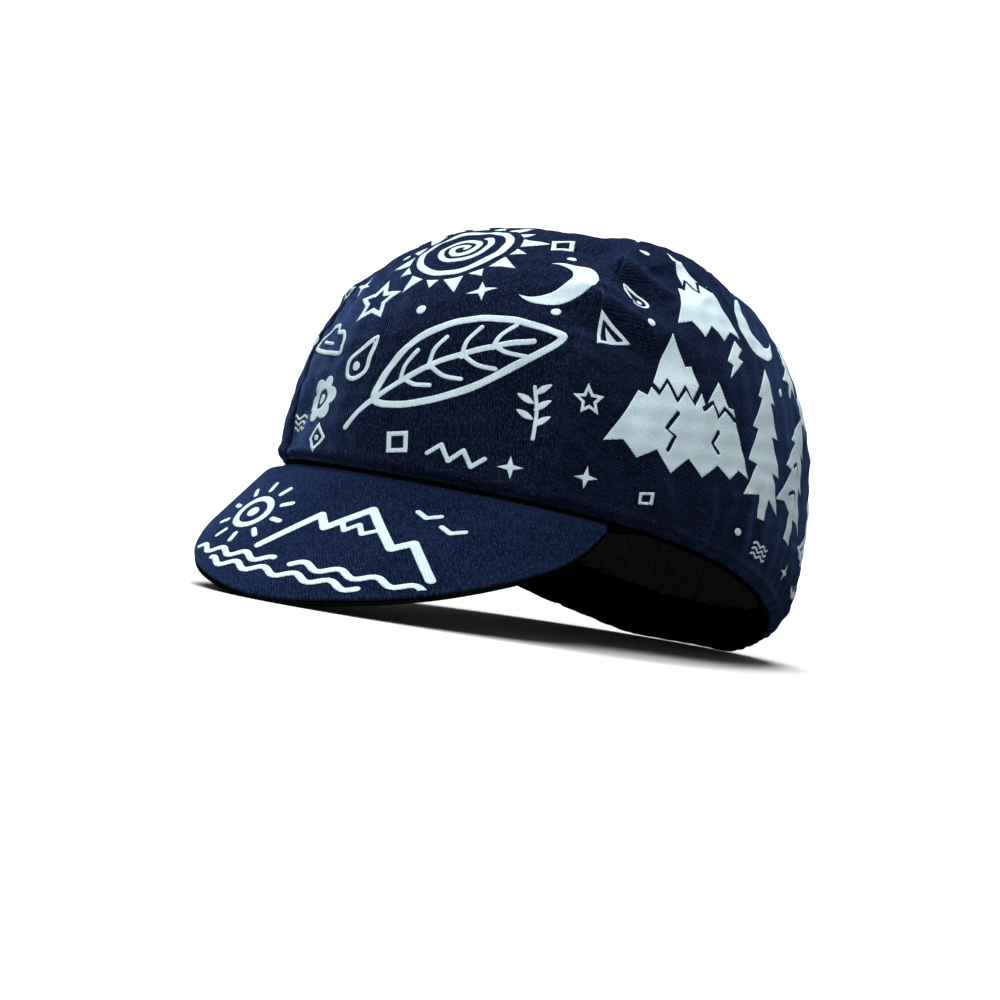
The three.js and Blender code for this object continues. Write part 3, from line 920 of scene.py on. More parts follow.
# %% Draw the large line figures
def draw_sun():
    parts = outline(circle(0, 0, 14.5, 60), 2.3)
    for k in range(16):
        far, wide = (24, 2.9) if k % 2 else (20.5, 2.2)
        turn = k * math.pi / 8
        ray = polygon((16.8, -wide), (far, 0.6), (16.8, wide))
        across = np.array([[math.cos(turn), math.sin(turn)], [-math.sin(turn), math.cos(turn)]])
        parts.append(("ink", ray @ across))
    turn = np.linspace(0, 4.4 * math.pi, 60)
    reach = 1.2 + 7.4 * turn / turn[-1]
    swirl = np.stack([reach * np.cos(turn), reach * np.sin(turn)], 1)
    parts.append(ink_stroke(swirl, 1.9))
    return parts


def draw_leaf():
    rim = smooth([(-31, -3), (-18, 10), (2, 15), (20, 10), (34, -1), (18, -9), (0, -13), (-19, -11)])
    parts = outline(rim, 2.5)
    parts.append(ink_stroke(smooth([(-43, -8), (-30, -3), (-4, 1), (24, -0.5)], False), 2.0))
    for x, lift in ((-19, 7.5), (-9, 9), (2, 9), (12, 6.5)):
        high = [(x, 0), (x + 3, lift * 0.6), (x + 8, lift)]
        low = [(x + 1, 0), (x + 4, -lift * 0.5), (x + 9, -lift * 0.85)]
        parts += [ink_stroke(smooth(vein, False), 1.5) for vein in (high, low)]
    return parts


def draw_landscape():
    ridge = [(-38, -9), (-28, 4), (-24, 0), (-12, 14), (-4, 3), (0, 8), (10, -9)]
    parts = line(ridge, 2.5)
    parts += line([(-18, 6.4), (-14.5, 3.4), (-12, 7), (-9.5, 3.4), (-7, 7)], 1.5)
    sun = np.array([24, 4])
    parts += outline(circle(*sun, 7.4, 44), 2.4)
    parts.append(("ink", circle(*sun, 2.2, 18)))
    for k in range(10):
        turn = (k * 36 + 8) * DEGREE
        ray = np.array([math.cos(turn), math.sin(turn)])
        parts += line([sun + 10.2 * ray, sun + 13.4 * ray], 1.8)
    for x, y, wide in ((-38, -13.5, 34), (2, -14, 34), (-24, -18.5, 46)):
        at = np.linspace(0, wide, 48)
        wave = np.stack([x + at, y + 1.3 * np.sin((x + at) * 2 * math.pi / 9.5)], 1)
        parts.append(ink_stroke(wave, 2.0))
    for x, y in ((-34, 11), (-26, 15)):
        parts += line([(x - 3, y + 1.8), (x, y), (x + 3, y + 1.8)], 1.5)
    return parts


# %% Draw the bold figures
def draw_range():
    rim = polygon(
        (-35, -20), (-21, 2), (-17, 1), (-5, 28), (1, 17), (4, 18), (10, 3), (17, 15), (22, 6), (25, 6),
        (35, -19), (29, -17), (24, -22), (17, -18), (9, -25), (2, -19), (-6, -27), (-13, -19), (-21, -24),
        (-27, -18),
    )
    parts = [("ink", rim)]
    snow = [(-20, 10), (-12, 3), (-8, 9), (-4, 2), (0, 8), (4, 3), (9, 12)]
    low_snow = [(9, 2), (14, 6), (17, 1), (20, 5), (26, 2)]
    parts += [bare_stroke(snow, 2.4), bare_stroke(low_snow, 2.0)]
    for rock in ([(-4, -3), (-9, -10), (-5, -12), (-8, -18)], [(17, -5), (14, -10), (17, -13)]):
        parts.append(bare_stroke(rock, 1.7))
    return parts


def draw_fir():
    rim = polygon(
        (0, 31), (6, 18), (3, 18), (9, 5), (5, 5), (12, -9), (6, -9), (14, -23), (3, -20), (2, -29),
        (-2, -29), (-3, -20), (-14, -23), (-6, -9), (-12, -9), (-5, 5), (-9, 5), (-3, 18), (-6, 18),
    )
    return [("ink", rim)]


def draw_bolt():
    rim = polygon((-5, 29), (11, 27), (4, 8), (15, 10), (-2, -30), (-1, -8), (-12, -9))
    return [("ink", rim)]


def draw_pine():
    rim = polygon(
        (0, 29), (10, 14), (5, 15), (15, 0), (8, 1), (19, -17), (11, -14), (3, -16), (4, -28),
        (-4, -28), (-3, -16), (-11, -14), (-19, -17), (-8, 1), (-15, 0), (-5, 15), (-10, 14),
    )
    parts = [("ink", rim)]
    for y, wide in ((6, 4.5), (-7, 7)):
        bough = smooth([(-wide, y - 2), (0, y + 1.5), (wide, y - 2)], False)
        parts.append(bare_stroke(bough, 1.7))
    return parts


def draw_breaker():
    rim = [(-36, -21), (-22, -15), (-12, -4), (-7, 10), (2, 21), (15, 24), (26, 17), (29, 6), (23, -3)]
    rim += [(14, -3), (15, 4), (20, 6), (18, 12), (11, 13), (6, 6), (7, -5), (15, -14), (27, -17), (38, -18)]
    rim += [(37, -23), (10, -25), (-18, -24)]
    parts = [("ink", smooth(rim))]
    for lines in ([(-20, -19), (-8, -10), (-2, 4), (3, 13)], [(-7, -20), (0, -13), (3, -5)]):
        parts.append(bare_stroke(smooth(lines, False), 1.7))
    return parts


def draw_moon():
    return [("ink", circle(0, 0, 15, 56)), ("bare", circle(6.5, 3, 12.2, 48))]


def draw_peak():
    rim = polygon(
        (-20, -18), (-9, 3), (-6, 3), (0, 22), (7, 6), (10, 7), (21, -17), (14, -15), (8, -21),
        (1, -15), (-5, -22), (-11, -15),
    )
    snow = [(-12, 6), (-6, 3), (-2, 8), (2, 2), (5, 8), (11, 5)]
    return [("ink", rim), bare_stroke(snow, 2.0)]


# %% Draw the small figures
def draw_star():
    return outline(star(0, 0, 9.5, 4.6, 5), 1.8)


def draw_spark():
    return [("ink", star(0, 0, 5.5, 1.7, 4))]


def draw_drop():
    rim = [(0, 10), (3.6, 2.5), (5.6, -3), (3.6, -7.6), (0, -9), (-3.6, -7.6), (-5.6, -3), (-3.6, 2.5)]
    return outline(smooth(rim), 1.7) + [("ink", circle(0, -3.4, 1.7, 16))]


def draw_cloud():
    rim = [(-12, -5), (-12.5, 0), (-8, 3), (-6, 7), (0, 8.5), (4, 5.5), (9, 5.5), (12.5, 0), (11, -5)]
    return outline(smooth(rim), 1.9) + line([(-5, -0.6), (3, -0.6)], 1.4)


def draw_waves():
    at = np.linspace(-10, 10, 36)
    wave = 1.2 * np.sin(at * 0.63)
    return [ink_stroke(np.stack([at, y + wave], 1), 1.7) for y in (-4, 0, 4)]


def draw_flower():
    parts = []
    for k in range(6):
        turn = k * math.pi / 3
        parts.append(("ink", circle(5.3 * math.cos(turn), 5.3 * math.sin(turn), 3.1, 18)))
    parts.append(("bare", circle(0, 0, 3.6, 20)))
    return parts + [("ink", circle(0, 0, 1.9, 14))]


def draw_rhombus():
    return outline(polygon((0, -8), (6, 0), (0, 8), (-6, 0)), 1.7) + [("ink", circle(0, 0, 1.5, 12))]


def draw_tent():
    parts = outline(polygon((-11, -7), (11, -7), (0, 10)), 1.9)
    return parts + [("ink", polygon((-3.5, -6), (3.5, -6), (0, 3)))]


def draw_sprig():
    parts = [ink_stroke(smooth([(0, -12), (1.2, 0), (0, 11)], False), 1.5)]
    for y, side in ((-6, 1), (-3, -1), (1, 1), (4, -1), (8, 1)):
        leaf = smooth([(0, y), (side * 3.5, y + 0.6), (side * 6.5, y + 4), (side * 2.6, y + 3.4)])
        parts.append(("ink", leaf))
    return parts


def draw_zigzag():
    return line([(-11, -2), (-6.5, 3), (-2, -3), (2.5, 3), (7, -3), (11, 2)], 1.9)


def draw_dot():
    return [("ink", circle(0, 0, 1.6, 14))]


def draw_tile():
    return outline(polygon((-3.6, -3.4), (3.4, -3.7), (3.7, 3.4), (-3.3, 3.6)), 1.5)


# %% [markdown]
# ## Where the figures go
# A print is laid out flat, so each panel has a list of figures with a place on the flat cloth
# in millimetres, a size and a turn in degrees. The places are measured across and up from the
# middle of the panel's lower edge, and on the peak out from its seam.

# %% Lay out the print
LAYOUT = {
    "front_gore": (
        (draw_sun, -9, 92, 1.1, 8), (draw_leaf, 18, 44, 1.04, 32), (draw_moon, 32, 84, 0.8, 160),
        (draw_star, -25, 62, 1.1, 12), (draw_cloud, -42, 45, 0.9, -6), (draw_drop, -18, 39, 1.0, -24),
        (draw_flower, -35, 23, 1.1, 15), (draw_rhombus, -29, 8, 0.75, 10), (draw_tile, 7, 11, 1.1, 14),
        (draw_zigzag, 28, 10, 0.85, -4), (draw_sprig, 48, 32, 0.85, 14), (draw_spark, 14, 72, 0.9, 30),
        (draw_waves, -51, 14, 0.6, 4), (draw_dot, -2, 60, 1.1, 0), (draw_spark, -44, 70, 0.9, 0),
        (draw_tile, 17, 107, 0.9, 40), (draw_zigzag, -3, 125, 0.6, 10), (draw_dot, 26, 100, 0.9, 0),
        (draw_dot, -34, 86, 1, 0), (draw_tile, -28, 108, 0.8, 20), (draw_spark, 46, 10, 0.8, 10),
        (draw_dot, 40, 71, 1.0, 0),
    ),
    "left_gore": (
        (draw_range, -46, 50, 0.94, 5), (draw_fir, -1, 52, 0.98, 3), (draw_pine, 30, 50, 0.92, -5),
        (draw_breaker, 71, 43, 0.58, 2), (draw_peak, -36, 99, 0.78, 10), (draw_moon, -4, 99, 0.84, 30),
        (draw_fir, 23, 97, 0.56, -8), (draw_range, 50, 88, 0.38, -14), (draw_bolt, -22, 78, 0.3, -16),
        (draw_tent, -77, 70, 0.7, 22), (draw_drop, -63, 90, 0.62, 26), (draw_star, -84, 41, 0.62, 8),
        (draw_dot, -50, 112, 0.9, 0), (draw_spark, -80, 13, 0.8, 8), (draw_dot, -62, 76, 0.9, 0),
        (draw_tile, -18, 120, 0.6, 10), (draw_spark, 6, 123, 0.6, 0), (draw_dot, 66, 70, 1, 0),
        (draw_zigzag, 66, 16, 0.8, 6), (draw_dot, -12, 14, 0.9, 0), (draw_spark, 36, 14, 0.7, 0),
        (draw_dot, 10, 78, 1.0, 0), (draw_tile, -56, 12, 0.7, 20), (draw_waves, 6, 12, 0.55, 4),
        (draw_spark, 43, 76, 0.6, 0),
    ),
    "right_gore": (
        (draw_breaker, -68, 44, 0.58, -2), (draw_range, -12, 50, 0.9, -5), (draw_pine, 36, 50, 0.9, 6),
        (draw_fir, 62, 48, 0.78, -4), (draw_moon, -2, 98, 0.84, 18), (draw_fir, 26, 97, 0.56, 8),
        (draw_peak, -34, 96, 0.76, -8), (draw_waves, 66, 14, 0.7, -4), (draw_tent, 60, 84, 0.6, -10),
        (draw_flower, 84, 46, 0.7, 0), (draw_sprig, 46, 92, 0.62, 30), (draw_spark, 30, 12, 0.8, 0),
        (draw_tile, -76, 74, 0.9, 12), (draw_star, 78, 68, 0.5, 20), (draw_dot, 4, 14, 1, 0),
        (draw_drop, -82, 16, 0.6, 10), (draw_spark, 0, 122, 0.6, 0), (draw_zigzag, -42, 14, 0.8, 4),
        (draw_dot, -52, 76, 1, 0), (draw_spark, 14, 76, 0.8, 10), (draw_bolt, -58, 92, 0.36, 14),
    ),
    "back_gore": (
        (draw_flower, -4, 68, 1.5, 12), (draw_leaf, 12, 97, 0.5, 30), (draw_sprig, -34, 62, 1.0, 22),
        (draw_tent, 32, 64, 0.95, -10), (draw_star, -24, 92, 0.75, 0), (draw_waves, 4, 44, 0.8, 0),
        (draw_spark, 26, 84, 0.8, 20), (draw_tile, -40, 40, 0.9, 14), (draw_dot, 22, 46, 1, 0),
        (draw_drop, 45, 42, 0.75, -18), (draw_dot, -14, 86, 1, 0), (draw_spark, 0, 118, 0.7, 0),
        (draw_zigzag, -18, 36, 0.7, 0), (draw_dot, -52, 50, 1, 0),
    ),
    "peak_top": ((draw_landscape, -2, 33, 1.08, 181),),
}
print("figures:", {panel: len(figures) for panel, figures in LAYOUT.items()})

# %% [markdown]
# ## From flat figures to films of ink
# Each figure is cut into small triangles that follow its loops. A triangle is kept where the
# last loop round it is of ink. The triangles are then carried from the flat layout onto the
# cloth, just above it, so the ink bends with every fold and gather. They keep the cloth's
# coordinates, so the weave shows through the ink.

# %% Define the cutting of a figure
INK_STEP = 0.85
NEAR_BORDER = 4
GRID_SWAY = 0.2
GRID_WAVE = 7.3


def resampled(loop):
    made = []
    for a, b in zip(loop, np.roll(loop, -1, 0)):
        parts = max(1, math.ceil(float(np.linalg.norm(b - a)) / INK_STEP))
        made += [a + (b - a) * k / parts for k in range(parts)]
    return np.array(made)


def inside_loop(points, loop):
    x, y = points[:, 0, None], points[:, 1, None]
    ax, ay = loop[None, :, 0], loop[None, :, 1]
    bx, by = np.roll(loop, -1, 0)[None, :, 0], np.roll(loop, -1, 0)[None, :, 1]
    crossing = (ay > y) != (by > y)
    at = ax + (y - ay) * (bx - ax) / np.where(by == ay, 1e-12, by - ay)
    return (crossing & (x < at)).sum(1) % 2 == 1


def cut_figure(parts, border):
    loops = [resampled(loop) for _, loop in parts]
    low = np.concatenate(loops).min(0) - INK_STEP
    high = np.concatenate(loops).max(0) + INK_STEP
    near = ((border > low - NEAR_BORDER) & (border < high + NEAR_BORDER)).all(1).any()
    edges_of = loops + ([resampled(border)] if near else [])
    xs, ys = (np.arange(low[i], high[i], INK_STEP) for i in (0, 1))
    grid = np.stack(np.meshgrid(xs, ys), -1).reshape(-1, 2)
    grid = grid + GRID_SWAY * INK_STEP * np.sin(grid[:, ::-1] * GRID_WAVE)
    points = [grid]
    edges = []
    count = len(grid)
    for loop in edges_of:
        number = np.arange(len(loop)) + count
        edges += list(zip(number.tolist(), np.roll(number, -1).tolist()))
        points.append(loop)
        count += len(loop)
    vectors = [Vector(p) for p in np.concatenate(points)]
    result = delaunay_2d_cdt(vectors, edges, [], 0, 1e-4)
    placed = np.array([tuple(v) for v in result[0]])
    triangles = np.array(result[2])
    middle = placed[triangles].mean(1)
    inked = np.zeros(len(triangles), bool)
    for (kind, _), loop in zip(parts, loops):
        inked[inside_loop(middle, loop)] = kind == "ink"
    inked &= inside_loop(middle, border)
    kept = triangles[inked]
    used, renumbered = np.unique(kept, return_inverse=True)
    return placed[used], renumbered.reshape(-1, 3)


test_cut = cut_figure(draw_dot(), 20 * star(0, 0, 1, 1, 4))
print("triangles of a dot:", len(test_cut[1]))

# %% Print every panel
INK_LIFT = 0.13 * MM
FILM_THICKNESS = 0.05 * MM
PRINT_TOP = 0.955
SEAM_MARGIN = 0.7 * MM
RIM_MARGIN = 0.8 * MM
PEAK_PRINT_WIDTH = 0.97
PEAK_MARGIN = 1.5 * MM


def gore_border(name):
    start, end, _ = GORES[name]
    up = np.linspace(0, PRINT_TOP, 60)
    middle = np.full(len(up), (start + end) / 2)
    girth = np.linalg.norm(crown_directions(middle, up)[2], axis=-1)
    half = (end - start) / 2 * girth - SEAM_MARGIN
    right = np.stack([half, up * CLIMB + RIM_MARGIN], 1)
    left = right[::-1] * [-1, 1]
    return np.concatenate([right, left]) / MM


def peak_border():
    across = np.linspace(-PEAK_PRINT_WIDTH, PEAK_PRINT_WIDTH, 80)
    outer = np.stack([across * PEAK_SPREAD, peak_reach(across) - PEAK_MARGIN], 1)
    inner = outer[::-1] * [1, 0] + [0, PEAK_MARGIN]
    return np.concatenate([outer, inner]) / MM


def print_panel(name):
    points, triangles = [], []
    count = 0
    border = peak_border() if name == "peak_top" else gore_border(name)
    for draw, across, up, size, turned in LAYOUT[name]:
        cosine, sine = math.cos(turned * DEGREE), math.sin(turned * DEGREE)
        rotate = np.array([[cosine, sine], [-sine, cosine]]) * size
        parts = [(kind, loop @ rotate + [across, up]) for kind, loop in draw()]
        placed, made = cut_figure(parts, border)
        points.append(placed)
        triangles.append(made + count)
        count += len(placed)
    flat = np.concatenate(points) * MM
    faces = np.concatenate(triangles)
    lift = np.full(len(flat), -INK_LIFT)
    if name == "peak_top":
        across = flat[:, 0] / PEAK_SPREAD
        worn = peak_point(across, flat[:, 1] / peak_reach(across), lift)
    else:
        start, end, _ = GORES[name]
        angle, up = from_cloth(flat[:, 0], flat[:, 1], (start + end) / 2)
        worn = crown_point(angle, up, lift)
    film = add_object(name + "_print", smooth_mesh(name + "_print", to_frame(worn), faces, flat))
    skin = film.modifiers.new("film thickness", "SOLIDIFY")
    skin.thickness = FILM_THICKNESS
    skin.offset = -1
    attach(film, "root")
    return film


films = {name: print_panel(name) for name in LAYOUT}

# %% [markdown]
# ## Small helpers for shader nodes
# A material is a graph of nodes, and a few helpers keep the graphs short to write. One feeds a
# socket with a number, a colour or another socket. Others add a sum, a noise, a remapped range
# or a mix of two colours. Two more make and use node groups with named inputs and outputs, so
# that several cloths can share one effect.

# %% Define node helpers
def feed(tree, value, socket):
    if isinstance(value, bpy.types.NodeSocket):
        tree.links.new(value, socket)
    else:
        socket.default_value = value


def sum_of(tree, operation, *values):
    node = tree.nodes.new("ShaderNodeMath")
    node.operation = operation
    for value, socket in zip(values, node.inputs):
        feed(tree, value, socket)
    return node.outputs[0]


def new_group(name, inputs, outputs):
    tree = bpy.data.node_groups.new(name, "ShaderNodeTree")
    for label, kind, value in inputs:
        socket = tree.interface.new_socket(label, in_out="INPUT", socket_type=kind)
        if value is not None:
            socket.default_value = value
    for label in outputs:
        tree.interface.new_socket(label, in_out="OUTPUT", socket_type="NodeSocketFloat")
    return tree, tree.nodes.new("NodeGroupInput"), tree.nodes.new("NodeGroupOutput")


def use_group(tree, group, **values):
    node = tree.nodes.new("ShaderNodeGroup")
    node.node_tree = group
    for label, value in values.items():
        feed(tree, value, node.inputs[label.replace("_", " ")])
    return node


def noise(tree, vector, scale, detail=2.0):
    node = tree.nodes.new("ShaderNodeTexNoise")
    feed(tree, vector, node.inputs["Vector"])
    feed(tree, scale, node.inputs["Scale"])
    node.inputs["Detail"].default_value = detail
    return node.outputs["Fac"]


def remap(tree, value, low, high, to_low=0.0, to_high=1.0):
    node = tree.nodes.new("ShaderNodeMapRange")
    node.interpolation_type = "SMOOTHSTEP"
    for socket, number in zip(node.inputs, (value, low, high, to_low, to_high)):
        feed(tree, number, socket)
    return node.outputs["Result"]


# The colours of a mix node are its inputs 6 and 7 and its output 2.
def mix(tree, share, first, second):
    node = tree.nodes.new("ShaderNodeMix")
    node.data_type = "RGBA"
    feed(tree, share, node.inputs[0])
    feed(tree, first, node.inputs[6])
    feed(tree, second, node.inputs[7])
    return node.outputs[2]


print("node groups so far:", len(bpy.data.node_groups))

# %% [markdown]
# ## Twill
# Twill is woven so that each thread steps one place over in every row, which raises fine slanted
# ribs. The cloth coordinates are turned and divided by the rib spacing, and a cosine across
# them gives the ribs. Each rib is broken into short threads that step from rib to rib, and slow
# noise makes some threads paler, as dyed cotton is.

# %% Build the twill group
FLOAT, VECTOR = "NodeSocketFloat", "NodeSocketVector"
DRIFT_SCALE = 260.0
RIB_DRIFT = 0.6
THREAD_STEP = 0.35
THREADS_PER_RIB = 1.3
THREAD_DIP = 0.16
STREAK_GRAIN = (0.9, 0.2)
FLECK_GRAIN = (1.6, 0.8)
FLECK_LAYER = 7.0


def stretched_noise(tree, across, along, grain, layer, detail):
    place = tree.nodes.new("ShaderNodeCombineXYZ")
    feed(tree, sum_of(tree, "MULTIPLY", across, grain[0]), place.inputs[0])
    feed(tree, sum_of(tree, "MULTIPLY", along, grain[1]), place.inputs[1])
    feed(tree, layer, place.inputs[2])
    return noise(tree, place.outputs[0], 1.0, detail)


def build_twill():
    inputs = [("Cloth", VECTOR, None), ("Spacing", FLOAT, 0.0009), ("Slant", FLOAT, 0.0)]
    tree, given, result = new_group("Twill weave", inputs, ["Height", "Streak", "Fleck"])
    split = tree.nodes.new("ShaderNodeSeparateXYZ")
    feed(tree, given.outputs["Cloth"], split.inputs[0])
    x, y = split.outputs[0], split.outputs[1]
    slant, spacing = given.outputs["Slant"], given.outputs["Spacing"]
    cosine, sine = sum_of(tree, "COSINE", slant), sum_of(tree, "SINE", slant)
    across = sum_of(tree, "MULTIPLY", x, cosine)
    across = sum_of(tree, "MULTIPLY_ADD", y, sine, across)
    along = sum_of(tree, "MULTIPLY", y, cosine)
    along = sum_of(tree, "SUBTRACT", along, sum_of(tree, "MULTIPLY", x, sine))
    across = sum_of(tree, "DIVIDE", across, spacing)
    along = sum_of(tree, "DIVIDE", along, spacing)
    drift = noise(tree, given.outputs["Cloth"], DRIFT_SCALE, 1.0)
    across = sum_of(tree, "MULTIPLY_ADD", drift, RIB_DRIFT, across)
    rib = sum_of(tree, "COSINE", sum_of(tree, "MULTIPLY", across, 2 * math.pi))
    rib = sum_of(tree, "MULTIPLY_ADD", rib, 0.5, 0.5)
    number = sum_of(tree, "ROUND", across)
    threads = sum_of(tree, "MULTIPLY", along, THREADS_PER_RIB)
    step = sum_of(tree, "MULTIPLY_ADD", number, THREAD_STEP, threads)
    thread = sum_of(tree, "COSINE", sum_of(tree, "MULTIPLY", step, 2 * math.pi))
    thread = sum_of(tree, "MULTIPLY_ADD", thread, THREAD_DIP, 1 - THREAD_DIP)
    feed(tree, sum_of(tree, "MULTIPLY", rib, thread), result.inputs["Height"])
    streak = stretched_noise(tree, across, along, STREAK_GRAIN, 0.0, 1.5)
    feed(tree, remap(tree, streak, 0.32, 0.72), result.inputs["Streak"])
    fleck = stretched_noise(tree, across, along, FLECK_GRAIN, FLECK_LAYER, 0.5)
    feed(tree, remap(tree, fleck, 0.52, 0.8), result.inputs["Fleck"])
    return tree


twill = build_twill()
print("twill outputs:", [s.name for s in twill.interface.items_tree if s.in_out == "OUTPUT"])

# %% [markdown]
# ## Wear, a painted ridge highlight and slow variation
# Cotton rubs pale where it stands proud, at seams and folded edges, and its dye is never quite
# even. A point attribute says how exposed a point is to rubbing, and on the crown it also holds
# a painted highlight along the crests of the creases. Noise breaks it up, so the pale marks come
# and go. A second group gives slow clouds for tone and roughness.

# %% Build the wear and cloud groups
PATCH_SCALE = 180.0
GRAIN_SCALE = 1900.0


def build_wear():
    inputs = [("Cloth", VECTOR, None), ("Exposed", FLOAT, 0.0), ("Amount", FLOAT, 1.0)]
    tree, given, result = new_group("Edge wear", inputs, ["Mask"])
    patches = remap(tree, noise(tree, given.outputs["Cloth"], PATCH_SCALE, 3.0), 0.35, 0.7)
    grain = remap(tree, noise(tree, given.outputs["Cloth"], GRAIN_SCALE, 1.0), 0.3, 0.75)
    broken = sum_of(tree, "MULTIPLY", patches, grain)
    # On the crown the exposed value also holds a painted highlight on crease crests, and this mask passes it
    # on.
    mask = sum_of(tree, "MULTIPLY", given.outputs["Exposed"], broken)
    feed(tree, sum_of(tree, "MULTIPLY", mask, given.outputs["Amount"]), result.inputs["Mask"])
    return tree


def build_clouds():
    inputs = [("Cloth", VECTOR, None), ("Size", FLOAT, 0.03)]
    tree, given, result = new_group("Slow clouds", inputs, ["Cloud"])
    scale = sum_of(tree, "DIVIDE", 1.0, given.outputs["Size"])
    cloud = noise(tree, given.outputs["Cloth"], scale, 3.0)
    feed(tree, remap(tree, cloud, 0.3, 0.7), result.inputs["Cloud"])
    return tree


wear_group = build_wear()
clouds = build_clouds()
print("node groups:", len(bpy.data.node_groups))

# %% [markdown]
# ## Cloth materials
# All of the cap's cloths are matt, so the shader is rough and hardly reflects. What makes
# cotton look soft is its fuzz, which catches light where the cloth turns away, and the sheen
# sockets give that. One recipe with its own colours and rib direction serves every cloth. The
# peak's navy is a lighter copy of the crown's, as painted light, and the side panels' a darker
# one, as painted shade.

# %% Define the cloth recipe
ROUGH_CLOUDS = 0.12
FUZZ_SPREAD = 0.32
RIB_DEPTH = 0.3 * MM
FLECK_HEIGHT = 0.4


def cloth_material(name, dark, light, worn, slant, look):
    material = bpy.data.materials.new(name)
    material.use_nodes = True
    tree = material.node_tree
    shader = tree.nodes["Principled BSDF"]
    coordinates = tree.nodes.new("ShaderNodeUVMap")
    coordinates.uv_map = "cloth"
    uv = coordinates.outputs[0]
    exposed_and_highlighted = tree.nodes.new("ShaderNodeAttribute")
    exposed_and_highlighted.attribute_name = "wear_and_highlight"
    weave = use_group(tree, twill, Cloth=uv, Spacing=look["spacing"], Slant=slant)
    cloud = use_group(tree, clouds, Cloth=uv, Size=look["cloud"])
    rubbed_and_highlighted = use_group(
        tree, wear_group, Cloth=uv, Exposed=exposed_and_highlighted.outputs["Fac"], Amount=look["wear_and_highlight"]
    )
    streak, fleck = weave.outputs["Streak"], weave.outputs["Fleck"]
    tone = sum_of(tree, "MULTIPLY", weave.outputs["Height"], look["rib"])
    tone = sum_of(tree, "MULTIPLY_ADD", streak, look["streak"], tone)
    tone = sum_of(tree, "MULTIPLY_ADD", fleck, look["fleck"], tone)
    tone = sum_of(tree, "MULTIPLY_ADD", cloud.outputs["Cloud"], look["clouds"], tone)
    colour = mix(tree, tone, (*dark, 1), (*light, 1))
    # Paler towards the worn colour where the mask is high: real rubbing at seams and edges, and a painted
    # highlight on the crown's crease crests.
    colour = mix(tree, rubbed_and_highlighted.outputs["Mask"], colour, (*worn, 1))
    feed(tree, colour, shader.inputs["Base Color"])
    rough = sum_of(tree, "MULTIPLY_ADD", cloud.outputs["Cloud"], ROUGH_CLOUDS, look["rough"])
    feed(tree, rough, shader.inputs["Roughness"])
    shader.inputs["Specular IOR Level"].default_value = look["gloss"]
    shader.inputs["Sheen Weight"].default_value = look["sheen"]
    shader.inputs["Sheen Roughness"].default_value = FUZZ_SPREAD
    shader.inputs["Sheen Tint"].default_value = (*look["fuzz"], 1)
    bump = tree.nodes.new("ShaderNodeBump")
    bump.inputs["Strength"].default_value = look["bump"]
    bump.inputs["Distance"].default_value = RIB_DEPTH
    height = sum_of(tree, "MULTIPLY_ADD", fleck, FLECK_HEIGHT, weave.outputs["Height"])
    feed(tree, height, bump.inputs["Height"])
    feed(tree, bump.outputs[0], shader.inputs["Normal"])
    return material


COTTON = {
    "spacing": 0.9 * MM,
    "cloud": 30 * MM,
    "wear_and_highlight": 0.15,
    "rib": 0.3,
    "streak": 0.22,
    "fleck": 1.1,
    "clouds": 0.08,
    "rough": 0.78,
    "gloss": 0.0,
    "sheen": 0.32,
    "fuzz": (0.2, 0.4, 1.0),
    "bump": 0.7,
}
print("values of a cloth's look:", len(COTTON))

# %% Make the cloths
UPRIGHT, LEVEL, SLANTED = 15 * DEGREE, 86 * DEGREE, -31 * DEGREE
NAVY_DARK = (0.0004, 0.001, 0.0035)
NAVY_LIGHT = (0.018, 0.028, 0.076)
# Pale navy for rubbed seams and edges, also the colour of the painted highlight on crease crests.
NAVY_WORN_AND_HIGHLIGHT = (0.045, 0.07, 0.18)
upright = cloth_material("navy twill upright", NAVY_DARK, NAVY_LIGHT, NAVY_WORN_AND_HIGHLIGHT, UPRIGHT, COTTON)
PEAK_COTTON = dict(COTTON, spacing=0.8 * MM, clouds=0.16, rib=0.26, fleck=0.8, sheen=0.2)
# Painted light: the peak is the same navy cloth as the crown, given lighter and bluer colours so that it
# looks more lit.
LIT_PEAK_DARK, LIT_PEAK_LIGHT = (0.001, 0.003, 0.01), (0.02, 0.036, 0.105)
slanted = cloth_material(
    "navy twill slanted", LIT_PEAK_DARK, LIT_PEAK_LIGHT, NAVY_WORN_AND_HIGHLIGHT, SLANTED, PEAK_COTTON
)
SIDE_COTTON = dict(COTTON, rib=0.4, fleck=0.8, sheen=0.3)
# Painted shade: the side panels are the same navy as the front and back, given a darker light tone so that
# they look more shaded.
SHADED_SIDE_LIGHT = (0.015, 0.023, 0.062)
level = cloth_material("navy twill level", NAVY_DARK, SHADED_SIDE_LIGHT, NAVY_WORN_AND_HIGHLIGHT, LEVEL, SIDE_COTTON)
INSIDE = dict(COTTON, wear_and_highlight=0.2, rib=0.15, streak=0.2, fleck=0.2, sheen=0.05, fuzz=(0.8, 0.8, 0.8))
lining = cloth_material(
    "crown inside", (0.12, 0.12, 0.123), (0.24, 0.24, 0.246), (0.3, 0.3, 0.3), 0.0, INSIDE
)
BLACK = dict(COTTON, spacing=0.8 * MM, wear_and_highlight=0.1, sheen=0.0, fleck=0.25)
black = cloth_material(
    "black twill", (0.0012, 0.0012, 0.0014), (0.0065, 0.0065, 0.007), (0.03, 0.03, 0.032), 0.0, BLACK
)
ribbed = cloth_material(
    "black rib", (0.0008, 0.0008, 0.001), (0.007, 0.007, 0.0075), (0.012, 0.012, 0.013), 0.0, BLACK
)
INK = dict(COTTON, wear_and_highlight=0.0, rib=0.5, fleck=0.25, clouds=0.12, sheen=0.05, bump=0.3, gloss=0.1)
